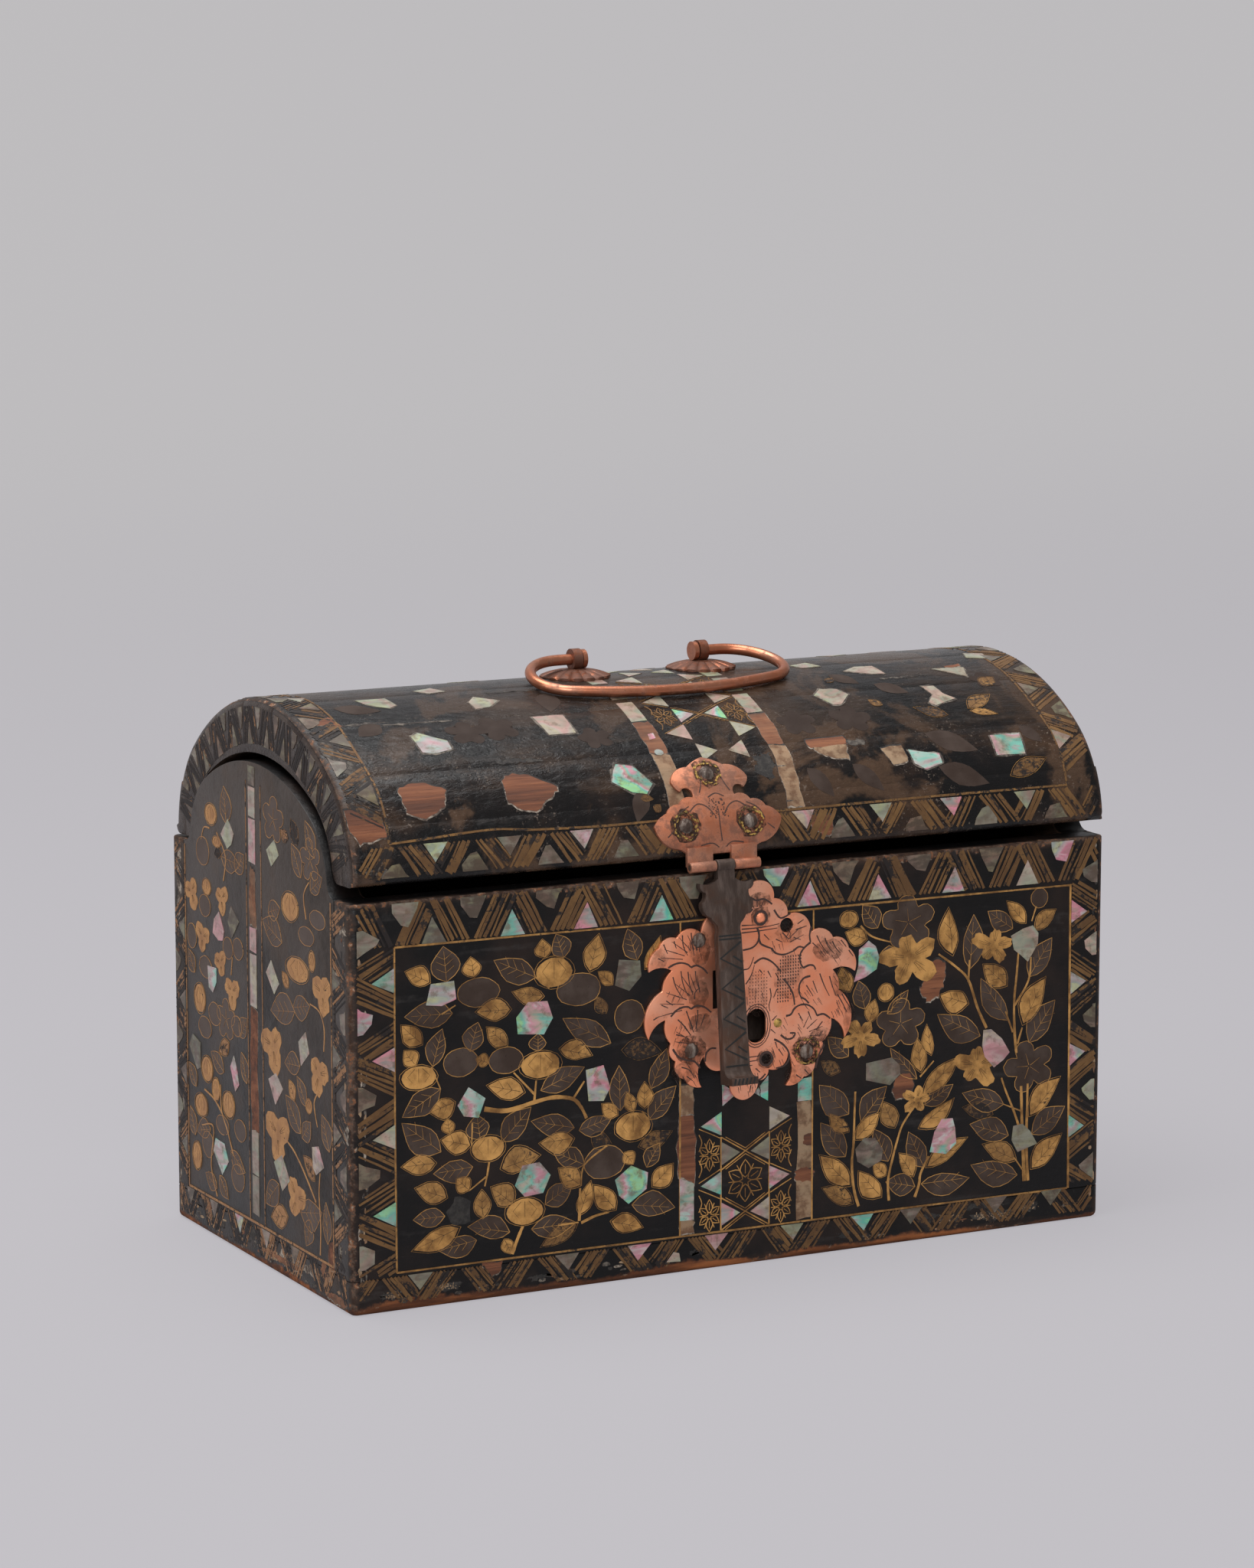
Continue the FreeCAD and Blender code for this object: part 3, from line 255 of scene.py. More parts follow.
def addLacquer(name, part):
    look, own = lacquerLook, lacquerLook[part]
    paint = Paint(name, Specular_IOR_Level=own["specular"])
    place = paint.axes()
    cloud = paint.noise(38, 5)
    fine = paint.noise(420, 4, 0.65)
    grain = paint.streak(28, 260, 260, 5, 0.6)
    colour = paint.mix(paint.step(cloud, 0.42, 0.72), look["black"], look["brown"])
    scuff = paint.step(grain + 0.35 * fine, 0.74, 0.94)
    colour = paint.mix(scuff * 0.35, colour, look["haze"])
    colour = paint.mix(paint.step(paint.noise(1500, 2), 0.70, 0.78) * 0.30, colour, look["haze"])
    if part == "lid":
        colour, edge, hidden, crackle = lidCoat(paint, colour, place, cloud, fine, grain)
    else:
        colour, edge, hidden, crackle = boxCoat(paint, colour, place, cloud, fine)
    worn = paint.step(edge - 5.0 * fine - 3.0 * cloud, -2.5, -3.4)
    rubbed = paint.step(edge - 6.0 * grain - 2.0 * fine, -1.4, -3.6)
    colour = paint.mix(rubbed * 0.42, colour, look["rub"])
    wornTone = paint.ramp(fine, (0.36, look["brown"]), (0.46, look["rub"]), (0.54, look["dust"]),
                          (0.62, look["bareWood"]), (0.70, look["pale"]))
    colour = paint.mix(worn * 0.9, colour, wornTone)
    if part == "box":  # the lowest edge has lost its lacquer
        height = place[2] + 2.6 * fine + 12 * (paint.noise(16, 3) - 0.40)
        foot = paint.step(height, 5.0, 3.8)
        footTone = paint.ramp(grain, (0.30, look["footDark"]), (0.46, look["footBrown"]), (0.62, look["footRed"]))
        colour = paint.mix(foot, colour, footTone)
        worn = worn.high(foot)
    inside = paint.mix(paint.step(grain, 0.36, 0.66), look["inside"], look["insideLight"])
    colour = paint.mix(hidden, colour, inside)
    gloss = own["gloss"] + 0.20 * fine + 0.16 * cloud + 0.16 * scuff + 0.22 * worn + 0.3 * hidden + 0.3 * rubbed
    paint.feed(Base_Color=colour, Roughness=gloss)
    paint.bump(grain * own["grain"] + crackle * own["crackle"] + cloud * 0.5, 0.75, 0.45)
    return paint.material


goldLook = {"bright": (0.51, 0.272, 0.082), "deep": (0.16, 0.076, 0.022), "brown": (0.085, 0.044, 0.020),
            "warm": (0.40, 0.20, 0.095), "under": (0.012, 0.008, 0.007)}


def addGold(name, wear, brownShare=0.0, patchy=0.0):
    paint = Paint(name, Specular_IOR_Level=0.3)
    patch = paint.noise(240, 5, 0.65)
    crumb = paint.noise(900, 4, 0.7)
    blotch = paint.noise(70, 3, 0.5)
    faded = paint.tint()
    tone = paint.mix(paint.step(patch * 0.6 + blotch * 0.4, 0.36, 0.62), goldLook["deep"], goldLook["bright"])
    browned = paint.step(blotch * 0.5 + crumb * 0.3 + faded * 0.9, 0.44, 0.78) * 0.85
    tone = paint.mix(browned, tone, goldLook["brown"])
    tone = paint.mix(brownShare, tone, goldLook["brown"])
    tone = paint.mix(paint.endOn() * 0.5, tone, goldLook["warm"])
    rubbed = paint.step(paint.streak(140, 900, 1600, 3, 0.6), 0.60, 0.68) * 0.14
    lost = paint.step(crumb * 0.6 + patch * 0.55 + rubbed + faded * 0.55 + 0.11
                      + patchy * paint.step(paint.noise(130, 4, 0.6), 0.46, 0.64), wear, wear + 0.10)
    colour = paint.mix(lost, tone, goldLook["under"])
    paint.feed(Base_Color=colour, Roughness=0.42 + 0.25 * crumb, Metallic=(1 - lost) * 0.35)
    paint.bump(crumb - lost * 0.5, 0.35, 0.05)
    return paint.material


darkLook = {"brown": (0.034, 0.022, 0.017), "grey": (0.054, 0.038, 0.031), "end": (0.088, 0.067, 0.059)}


def addDarkLeaf():
    paint = Paint("brownMakie", Specular_IOR_Level=0.12)
    patch = paint.noise(160, 4)
    crumb = paint.noise(1200, 3, 0.7)
    colour = paint.mix(paint.step(patch, 0.35, 0.7), darkLook["brown"], darkLook["grey"])
    colour = paint.mix(paint.step(crumb, 0.62, 0.72) * 0.5, colour, lacquerLook["black"])
    colour = paint.mix(paint.tint(), colour, lacquerLook["brown"])
    colour = paint.mix(paint.endOn() * (0.45 + 0.5 * patch), colour, darkLook["end"])
    paint.feed(Base_Color=colour, Roughness=0.48 + 0.2 * crumb)
    paint.bump(crumb, 0.3, 0.04)
    return paint.material


shellLook = {"tan": (0.115, 0.066, 0.033), "grey": (0.120, 0.096, 0.070), "cream": (0.28, 0.222, 0.158),
             "pink": (0.46, 0.15, 0.21), "teal": (0.06, 0.35, 0.27), "white": (0.36, 0.37, 0.34),
             "green": (0.20, 0.46, 0.15), "shade": (0.30, 0.28, 0.27), "soot": (0.040, 0.024, 0.014),
             "crack": (0.06, 0.045, 0.04)}


def addShell():
    look = shellLook
    paint = Paint("shellInlay", IOR=1.55, Coat_Roughness=0.08)
    kind = paint.tint()  # 0 tan, 0.2 grey, 0.4 cream, 0.6 pink, 0.8 teal, 1 mixed
    sheen = paint.noise(75, 1, 0.5, None, 0.8)
    layered = paint.streak(150, 150, 420, 3, 0.55, 0.9)
    play = paint.ramp(sheen * 0.8 + layered * 0.2, (0.34, look["teal"]), (0.40, look["green"]),
                      (0.44, look["teal"]), (0.485, look["white"]), (0.52, look["pink"]),
                      (0.57, look["cream"]), (0.62, look["teal"]), (0.68, look["pink"]))
    base = paint.ramp(kind, (0.0, look["tan"]), (0.2, look["grey"]), (0.4, look["cream"]),
                      (0.6, look["pink"]), (0.8, look["teal"]), (1.0, look["white"]))
    lively = (0.07 + paint.step(kind, 0.24, 0.34) * 0.12 + paint.step(kind, 0.46, 0.60) * 0.36
              + paint.step(kind, 0.85, 1.0) * 0.25)
    colour = paint.mix(lively, base, play)
    stain = paint.noise(380, 5, 0.65)
    colour = paint.mix(paint.step(stain, 0.50, 0.68) * 0.7, colour, look["tan"])
    colour = paint.mix(0.55 * paint.step(layered, 0.3, 0.75), colour, look["shade"], "MULTIPLY")
    dull = paint.step(kind, 0.28, 0.15)
    colour = paint.mix(dull * paint.step(stain * 0.6 + layered * 0.5, 0.44, 0.62) * 0.8, colour, look["soot"])
    crack = paint.streak(700, 700, 260, 5, 0.7)
    colour = paint.mix(paint.step(crack, 0.66, 0.74) * 0.6, colour, look["crack"])
    paint.feed(Base_Color=colour, Roughness=0.22 + 0.35 * stain, Coat_Weight=0.5 * paint.step(kind, 0.15, 0.5))
    paint.bump(layered + stain * 0.3 - crack * 0.3, 0.35, 0.12)
    return paint.material


woodLook = {"dark": (0.026, 0.008, 0.004), "middle": (0.110, 0.034, 0.013), "light": (0.20, 0.072, 0.029),
            "filler": (0.24, 0.165, 0.098), "stain": (0.10, 0.056, 0.028), "dusk": (0.055, 0.030, 0.018)}


def addBareWood(name, dusk):
    paint = Paint(name, IOR=1.45)
    fibre = paint.streak(22, 420, 520, 6, 0.65, 0.4)
    band = paint.streak(12, 130, 150, 2, 0.5)
    pore = paint.streak(160, 1900, 1900, 3, 0.7)
    colour = paint.ramp(fibre * 0.6 + band * 0.4, (0.34, woodLook["dark"]), (0.50, woodLook["middle"]),
                        (0.66, woodLook["light"]))
    colour = paint.mix(paint.step(pore, 0.58, 0.72) * 0.7, colour, woodLook["dark"])
    if dusk:
        colour = paint.mix(dusk, colour, woodLook["dusk"])
    else:
        stained = paint.step(paint.noise(210, 5, 0.65), 0.44, 0.62)
        colour = paint.mix(paint.tint(), colour, paint.mix(stained, woodLook["filler"], woodLook["stain"]))
    paint.feed(Base_Color=colour, Roughness=0.62 + 0.25 * pore)
    paint.bump(fibre + pore * 0.5, 0.6, 0.25)
    return paint.material


chipLook = {"pale": (0.30, 0.25, 0.20), "dirt": (0.050, 0.033, 0.024), "black": (0.007, 0.006, 0.006)}


def addChip():
    paint = Paint("groundChips")
    grit = paint.noise(700, 5, 0.7)
    patch = paint.noise(240, 4, 0.6)
    colour = paint.mix(paint.step(grit * 0.6 + patch * 0.5, 0.44, 0.62), chipLook["pale"], chipLook["dirt"])
    colour = paint.mix(paint.tint(), colour, chipLook["black"])  # 0 pale ground, 1 black: dark hollows, and the painted shadow along the upper rim of losses
    paint.feed(Base_Color=colour, Roughness=0.75 + 0.2 * grit)
    paint.bump(grit + patch, 0.8, 0.3)
    return paint.material


copperLook = {"rose": (0.92, 0.325, 0.172), "pale": (0.95, 0.455, 0.295), "brown": (0.17, 0.060, 0.032),
              "dull": (0.045, 0.023, 0.017)}


def addCopper(name, brownShare, dirtLevel, roughness):
    paint = Paint(name)
    patch = paint.noise(85, 4)
    brushed = paint.streak(900, 300, 120, 4, 0.6)
    grime = paint.noise(310, 6, 0.7)
    pit = paint.noise(1700, 2)
    colour = paint.mix(paint.step(patch, 0.35, 0.7), copperLook["rose"], copperLook["pale"])
    colour = paint.mix(brownShare, colour, copperLook["brown"])
    dirty = paint.step(grime + 0.25 * patch, dirtLevel, dirtLevel + 0.20)
    colour = paint.mix(dirty * 0.66, colour, copperLook["dull"])
    colour = paint.mix(paint.step(pit, 0.68, 0.76) * 0.5, colour, copperLook["dull"])
    paint.feed(Base_Color=colour, Roughness=roughness + 0.25 * dirty + 0.12 * brushed,
               Metallic=0.9 - 0.45 * dirty)
    paint.bump(brushed * 0.5 + grime * 0.7 - pit * 0.3, 0.35, 0.14)
    return paint.material


# bright and nail are painted highlight tones, of the wrought iron and of the nail heads
ironLook = {"grey": (0.046, 0.031, 0.025), "rust": (0.056, 0.028, 0.018), "bright": (0.14, 0.105, 0.09),
            "nail": (0.25, 0.21, 0.18)}


def addIron(name, shine, bright):
    paint = Paint(name, Specular_IOR_Level=0.22)
    patch = paint.noise(120, 5, 0.6)
    hammerAndGlint = paint.streak(620, 620, 150, 4, 0.6)
    pit = paint.noise(900, 4, 0.7)
    colour = paint.mix(paint.step(patch, 0.42, 0.66), ironLook["grey"], ironLook["rust"])
    # lighter flecks along the hammer marks: a painted highlight, strongest on the nail heads
    colour = paint.mix(paint.step(hammerAndGlint, 0.42, 0.70) * shine, colour, ironLook[bright])
    paint.feed(Base_Color=colour, Roughness=0.44 + 0.3 * pit, Metallic=0.45 - 0.2 * patch)
    paint.bump(hammerAndGlint * 0.8 + pit * 0.5, 0.5, 0.2)
    return paint.material


brassLook = {"yellow": (0.46, 0.29, 0.075), "green": (0.055, 0.036, 0.016), "coppery": (86, 100)}


def addBrass():
    paint = Paint("yellowBrass")
    patch = paint.noise(520, 5, 0.65)
    z = paint.axes()[2]
    low, high = brassLook["coppery"]  # the rivet between these heights is copper
    colour = paint.mix(paint.step(patch, 0.42, 0.60), brassLook["yellow"], brassLook["green"])
    colour = paint.mix((z > low) * (z < high), colour, copperLook["rose"])
    paint.feed(Base_Color=colour, Roughness=0.38 + 0.3 * patch, Metallic=0.75 - 0.4 * patch)
    paint.bump(patch, 0.6, 0.2)
    return paint.material


lineLook = {"dark": (0.016, 0.008, 0.006), "brown": (0.055, 0.022, 0.015), "inIron": (0.004, 0.0035, 0.003),
            "patina": (0.028, 0.015, 0.011)}


def addGroove():
    paint = Paint("chasedLine")
    patch = paint.noise(420, 3)
    colour = paint.mix(patch, lineLook["dark"], lineLook["brown"])
    colour = paint.mix(paint.tint(), colour, lineLook["inIron"])
    paint.feed(Base_Color=colour, Roughness=0.55 + 0.2 * patch)
    return paint.material


def addNeedle():
    paint = Paint("needleLine", Specular_IOR_Level=0.15)
    patch = paint.noise(500, 3)
    paint.feed(Base_Color=paint.mix(patch, goldLook["brown"], goldLook["under"]), Roughness=0.5 + 0.2 * patch)
    return paint.material


def addGrime():
    paint = Paint("darkPatina", Specular_IOR_Level=0.2, Base_Color=(*lineLook["patina"], 1))
    cloud = paint.noise(330, 5, 0.65)
    crumb = paint.noise(1300, 4, 0.7)
    cover = paint.step(cloud * 0.7 + crumb * 0.35, 0.40, 0.66) * (1 - paint.tint())
    paint.feed(Alpha=cover, Roughness=0.5 + 0.3 * crumb)
    return paint.material


finishes = {
    "lacquer": addLacquer("blackLacquer", "box"), "lidLacquer": addLacquer("lidLacquer", "lid"),
    "gold": addGold("leafGold", 0.87), "line": addGold("lineGold", 0.88, 0.1),
    "stripe": addGold("borderGold", 0.87, 0.83, 0.20), "dark": addDarkLeaf(), "shell": addShell(),
    "wood": addBareWood("lostGroundWood", 0), "inner": addBareWood("innerWood", 0.45), "chip": addChip(),
    "plate": addCopper("roseCopper", 0.0, 0.68, 0.36), "leafCopper": addCopper("brownCopper", 0.56, 0.54, 0.36),
    "bail": addCopper("bailCopper", 0.66, 0.62, 0.26), "rosette": addCopper("rosetteCopper", 0.94, 0.48, 0.30),
    "iron": addIron("wroughtIron", 0.35, "bright"), "nail": addIron("nailIron", 0.8, "nail"),
    "brass": addBrass(), "groove": addGroove(), "grime": addGrime(), "needle": addNeedle()}
print("finishes made:", len(finishes))


# faces that carry the decoration: u and v in millimetres on the face, h outward

lidFoot = lidForm["half"] - lidForm["shoulder"]
lidCrown = ((lidFoot ** 2 + lidForm["rise"] ** 2 - lidForm["shoulder"] ** 2)
            / (2 * (lidForm["rise"] - lidForm["shoulder"])))
crownZ = lidForm["spring"] + lidForm["rise"] - lidCrown
lidTurn = math.atan2(lidForm["spring"] - crownZ, lidFoot)
shoulderRun = lidForm["shoulder"] * lidTurn
vaultRun = 2 * shoulderRun + lidCrown * (math.pi - 2 * lidTurn)


def turned(y, z, pin, degrees):  # a point swung about a pin that runs along the length
    angle = math.radians(degrees)
    dy, dz = y - pin[0], z - pin[1]
    return (pin[0] + dy * math.cos(angle) + dz * math.sin(angle),
            pin[1] - dy * math.sin(angle) + dz * math.cos(angle))


def tilted(x, y, z):  # the lid stands slightly ajar
    return Vector((x, *turned(y, z, lidForm["hinge"], lidForm["tilt"])))


def archSpot(s, h):  # along the arch from the front foot to the back foot, h outward
    if s > vaultRun / 2:
        y, z = archSpot(vaultRun - s, h)
        return -y, z
    if s < shoulderRun:
        angle = s / lidForm["shoulder"]
        reach = lidForm["shoulder"] + h
        return -lidFoot - reach * math.cos(angle), lidForm["spring"] + reach * math.sin(angle)
    angle = lidTurn + (s - shoulderRun) / lidCrown
    return -(lidCrown + h) * math.cos(angle), crownZ + (lidCrown + h) * math.sin(angle)


def vaultSpot(u, v, h):
    return tilted(u, *archSpot(v, h))


def ringSpot(end, sign):  # u along the arch, v inward from its edge
    return lambda u, v, h: tilted(end + sign * h, *archSpot(u, -v))


def haspSpot(u, v, h):  # v measured from the pin, negative downward
    pin = haspForm["pin"]
    return tilted(haspForm["x"] + u, *turned(haspForm["front"] - h, pin[1] + v, pin, haspForm["swing"]))


# cutStep is how finely a curved face cuts what lies on it, along cutAxis
Face = namedtuple("Face", "body spot cutStep cutAxis fade", defaults=(0.0, 1, 0.0))
front = Face("box", lambda u, v, h: Vector((u, -boxForm["front"] - h, v)))
back = Face("box", lambda u, v, h: Vector((-u, boxForm["front"] + h, v)))
leftEnd = Face("box", lambda u, v, h: Vector((-boxForm["end"] - h, u, v)), fade=0.14)
rightEnd = Face("box", lambda u, v, h: Vector((boxForm["end"] + h, u, v)), fade=0.16)
vault = Face("lid", vaultSpot, 2.0)
backOfVault = Face("lid", lambda u, v, h: vaultSpot(-u, vaultRun - v, h), 2.0)
leftRing = Face("lid", ringSpot(lidForm["left"], -1), 3.0, 0, 0.2)
rightRing = Face("lid", ringSpot(lidForm["right"], 1), 3.0, 0, 0.2)
plateFace = Face("box", lambda u, v, h: Vector((u, -plateForm["front"] - h, v)))
haspPlateFace = Face("lid", lambda u, v, h: vaultSpot(u, v, plateForm["onLid"] + h), 1.0)
haspFace = Face("hasp", haspSpot)
lipFace = Face("hasp", lambda u, v, h: haspSpot(u, v, h + haspForm["lip"]))


# slabs: thin closed plates laid into a face

slabForm = {"lift": 0.0015, "turns": 11, "bottom": -0.15}
layerLook = {  # top height, slot, finish and name of each kind of inlay
    "chip": (0.02, "bare_wood", "chip", "ground_chips"),
    "wood": (0.04, "bare_wood", "wood", "bare_losses"),
    "dark": (0.03, "lacquer", "dark", "brown_leaves"),
    "gold": (0.05, "lacquer", "gold", "gold_leaves"),
    "line": (0.085, "lacquer", "line", "gold_lines"),
    "needle": (0.07, "lacquer", "needle", "needle_lines"),
    "stripe": (0.06, "lacquer", "stripe", "border_stripes"),
    "shell": (0.12, "lacquer", "shell", "shell_inlay"),
    "groove": (0.03, "copper", "groove", "chased_lines"),
    "grime": (0.012, "copper", "grime", "dark_patina"),
    "brass": (0.25, "copper", "brass", "brass_collars"),
}
layers = {}


def cutAcross(flat, face):  # lines across the slabs, so that they bend with the face
    bmesh.ops.triangulate(flat, faces=flat.faces[:])
    axis = face.cutAxis
    places = [vert.co[axis] for vert in flat.verts]
    point, normal = [0, 0, 0], [0, 0, 0]
    normal[axis] = 1
    for number in range(math.ceil(min(places) / face.cutStep), math.floor(max(places) / face.cutStep) + 1):
        point[axis] = number * face.cutStep
        geometry = flat.verts[:] + flat.edges[:] + flat.faces[:]
        bmesh.ops.bisect_plane(flat, geom=geometry, plane_co=point, plane_no=normal, dist=1e-4)


def slabs(face, outlines, top, bottom):
    flat = bmesh.new()
    tint = flat.faces.layers.float.new("tint")
    for number, (outline, value) in enumerate(outlines):  # one that overlaps the last lies a hair higher
        lift = slabForm["lift"] * (number % slabForm["turns"])
        made = flat.faces.new([flat.verts.new((u, v, lift)) for u, v in outline])
        made[tint] = value
    if face.cutStep:
        cutAcross(flat, face)
    flat.verts.index_update()
    count = len(flat.verts)
    verts = [face.spot(vert.co.x, vert.co.y, top + vert.co.z) * mm for vert in flat.verts]
    verts += [face.spot(vert.co.x, vert.co.y, bottom) * mm for vert in flat.verts]
    faces, tints = [], []
    for item in flat.faces:
        loop = [vert.index for vert in item.verts]
        faces.append(loop)
        faces.append([count + index for index in reversed(loop)])
        tints += [item[tint]] * 2
        for edge in item.loops:
            if len(edge.edge.link_faces) == 1:
                a, b = edge.vert.index, edge.link_loop_next.vert.index
                faces.append([b, a, count + a, count + b])
                tints.append(item[tint])
    flat.free()
    return verts, faces, tints


def lay(face, kind, outline, tint=0.0):
    if kind in ("gold", "line", "stripe"):
        tint += face.fade
    layers.setdefault((face.body, kind), []).append((face, outline, tint))


def smoothed(mesh, sharp):  # sharp is the angle in degrees that stays an edge
    for polygon in mesh.polygons:
        polygon.use_smooth = True
    mesh.set_sharp_from_angle(angle=math.radians(sharp))


def addPiece(name, mesh, body, finish):
    mesh.materials.append(finishes[finish])
    piece = bpy.data.objects.new(name, mesh)
    scene.collection.objects.link(piece)
    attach(piece, body)
    return piece


def closedMesh(name, verts, faces, tints=None):
    mesh = bpy.data.meshes.new(name)
    mesh.from_pydata(verts, [], faces)
    if tints:
        mesh.attributes.new("tint", "FLOAT", "FACE").data.foreach_set("value", tints)
    healed = bmesh.new()
    healed.from_mesh(mesh)
    bmesh.ops.recalc_face_normals(healed, faces=healed.faces[:])
    healed.to_mesh(mesh)
    healed.free()
    return mesh


def buildLayers():
    for (body, kind), entries in layers.items():
        top, slot, finish, label = layerLook[kind]
        byFace = {}
        for face, outline, tint in entries:
            byFace.setdefault(face, []).append((outline, tint))
        verts, faces, tints = [], [], []
        for face, outlines in byFace.items():
            newVerts, newFaces, newTints = slabs(face, outlines, top, slabForm["bottom"])
            start = len(verts)
            verts += newVerts
            faces += [[start + index for index in loop] for loop in newFaces]
            tints += newTints
        name = body + "_" + label
        addPiece(name, closedMesh(name, verts, faces, tints), body, finish)
        print("laid", body, label, len(entries))


# outlines

def shake(reach):
    return dice.uniform(-reach, reach)


def flipped(outline, sign):  # sign -1 carries it to the other side
    return [(sign * u, v) for u, v in outline]


def middleOf(outline):
    return sum(u for u, v in outline) / len(outline), sum(v for u, v in outline) / len(outline)


def spread(outline, middle, wide, tall, lift=0.0):  # larger about its middle by these shares
    return [(u + (u - middle[0]) * wide, v + (v - middle[1]) * tall + lift) for u, v in outline]


def ray(x, z, radius, angle, shares, tall):  # points out from the middle of a flower
    return [(x + share * radius * math.cos(angle), z + tall * share * radius * math.sin(angle)) for share in shares]


def inLeaf(base, tip, width, t, side=0.0):  # t along the leaf, side from -1 to 1 across it
    length = math.dist(base, tip)
    along = ((tip[0] - base[0]) / length, (tip[1] - base[1]) / length)
    off = side * width / 2
    return (base[0] + along[0] * t * length - along[1] * off, base[1] + along[1] * t * length + along[0] * off)


leafForm = {"steps": 7, "peak": 0.83, "point": 1.02, "rough": 0.05}


def leafOutline(base, tip, width, bow=0.0, steps=leafForm["steps"]):
    shift = 2 * bow * math.dist(base, tip) / width
    sides = ([], [])
    for step in range(1, steps):
        t = step / steps
        swell = math.sin(math.pi * t ** leafForm["peak"]) ** leafForm["point"]
        for side, sign in zip(sides, (-1, 1)):
            off = sign * swell * (1 + shake(leafForm["rough"]))
            side.append(inLeaf(base, tip, width, t, shift * math.sin(math.pi * t) + off))
    return [base] + sides[0] + [tip] + sides[1][::-1]


def ovalOutline(x, z, width, height, turn=0.0, rough=0.03, steps=18):
    points = []
    for step in range(steps):
        angle = 2 * math.pi * step / steps
        swell = 1 + shake(rough)
        u, v = width / 2 * math.cos(angle) * swell, height / 2 * math.sin(angle) * swell
        points.append((x + u * math.cos(turn) - v * math.sin(turn), z + u * math.sin(turn) + v * math.cos(turn)))
    return points


flowerForm = {"steps": 9, "heart": 0.46, "tall": 0.9}


def flowerOutline(x, z, radius, turn, petals=5, wild=0.0):  # wild makes the petals uneven
    points = []
    steps = petals * flowerForm["steps"]
    heart, rough = flowerForm["heart"], 0.02 + 0.12 * wild
    lengths = [1 + wild * dice.uniform(-1, 0.5) for petal in range(petals)]
    for step in range(steps):
        angle = 2 * math.pi * step / steps
        petal = round(petals * (angle - turn) / (2 * math.pi)) % petals
        lobe = abs(math.cos(petals / 2 * (angle - turn))) ** (0.55 + 0.5 * wild)
        reach = (heart + (1 - heart) * lengths[petal] * lobe) * (1 + shake(rough))
        points += ray(x, z, radius, angle, [reach], flowerForm["tall"])
    return points


def stroke(points, width, taper=0.0):
    left, right = [], []
    last = len(points) - 1
    for index, (u, v) in enumerate(points):
        before, after = points[max(index - 1, 0)], points[min(index + 1, last)]
        run = math.dist(before, after) or 1.0
        nu, nv = -(after[1] - before[1]) / run, (after[0] - before[0]) / run
        half = width / 2 * (1 - taper * index / last) * (1 + shake(0.12))
        left.append((u + nu * half, v + nv * half))
        right.append((u - nu * half, v - nv * half))
    return left + right[::-1]


def flowing(points, steps=5):  # a smooth line through the points
    line = []
    ends = [points[0]] + list(points) + [points[-1]]
    for a, b, c, d in zip(ends, ends[1:], ends[2:], ends[3:]):
        for step in range(steps):
            t = step / steps
            line.append(tuple(0.5 * (2 * q + (r - p) * t + (2 * p - 5 * q + 4 * r - s) * t * t
                                     + (3 * q - p - 3 * r + s) * t ** 3) for p, q, r, s in zip(a, b, c, d)))
    return line + [points[-1]]


def ragged(outline, jitter, pieces=3):  # a broken edge
    points = []
    for (u, v), (nextU, nextV) in zip(outline, outline[1:] + outline[:1]):
        for step in range(pieces):
            t = step / pieces
            points.append((u + (nextU - u) * t + shake(jitter),
                           v + (nextV - v) * t + shake(jitter)))
    return points


# motifs: widths and shares in millimetres and parts of one

motifLook = {"leafFull": 1.24, "outline": 0.17, "vein": 0.10, "needle": 0.13, "stem": 0.74, "fade": 0.32,
             "rimFade": 0.06}
veinForm = {"gold": {"spine": (0.12, 0.4, 0.66, 0.86), "ribs": (0.34, 0.56), "sides": (-0.56, 0.56)},
            "dark": {"spine": (0.02, 0.3, 0.6, 0.86), "ribs": (0.25, 0.45, 0.63), "sides": (-0.6, 0.6)}, "rise": 0.16}


def needle(face, points):  # a line scratched through the gold
    lay(face, "needle", stroke(points, motifLook["needle"], 0.5))


def goldLine(face, points, width, faded=0.0, taper=0.0):
    lay(face, "line", stroke(points, width, taper), faded)


def rim(face, outline, width, faded=0.0):  # a gold line all round
    goldLine(face, outline + outline[:1], width, faded)


def darkShape(face, outline):
    lay(face, "dark", outline)
    rim(face, outline, motifLook["outline"], motifLook["rimFade"])


def leafRib(base, tip, width, t, side):  # from the spine out to one side
    return [inLeaf(base, tip, width, t), inLeaf(base, tip, width, t + veinForm["rise"], side)]


def goldLeaf(face, base, tip, width, faded=0.0):
    outline = leafOutline(base, tip, width, shake(0.09))
    rim(face, outline, motifLook["vein"], faded)
    middle = ((base[0] + tip[0]) / 2, (base[1] + tip[1]) / 2)
    lay(face, "gold", spread(outline, middle, -0.10, -0.10), faded + dice.choice((-0.05, 0.0, 0.05, 0.12, 0.2)))
    form = veinForm["gold"]
    spine = [inLeaf(base, tip, width, t) for t in form["spine"]]
    needle(face, [(u + shake(0.15), v) for u, v in spine])
    for side in form["sides"]:
        for t in form["ribs"]:
            needle(face, leafRib(base, tip, width, t, side))


def darkLeaf(face, base, tip, width):
    darkShape(face, leafOutline(base, tip, width, shake(0.07)))
    form, vein = veinForm["dark"], motifLook["vein"]
    goldLine(face, [inLeaf(base, tip, width, t) for t in form["spine"]], vein, 0.0, 0.5)
    for t in form["ribs"]:
        for side in form["sides"]:
            goldLine(face, leafRib(base, tip, width, t, side), vein, 0.1, 0.6)


def goldFruit(face, x, z, width, height):
    lay(face, "gold", ovalOutline(x, z, width * 0.93, height * 0.93))
    for k in (-1, 0, 1):
        line = ((0.1, 0.36), (0.3, 0.05), (0.16, -0.2))
        needle(face, [(x + k * width * across, z + height * up) for across, up in line])
    rim(face, ovalOutline(x, z, width * 1.04, height * 1.04), motifLook["vein"])


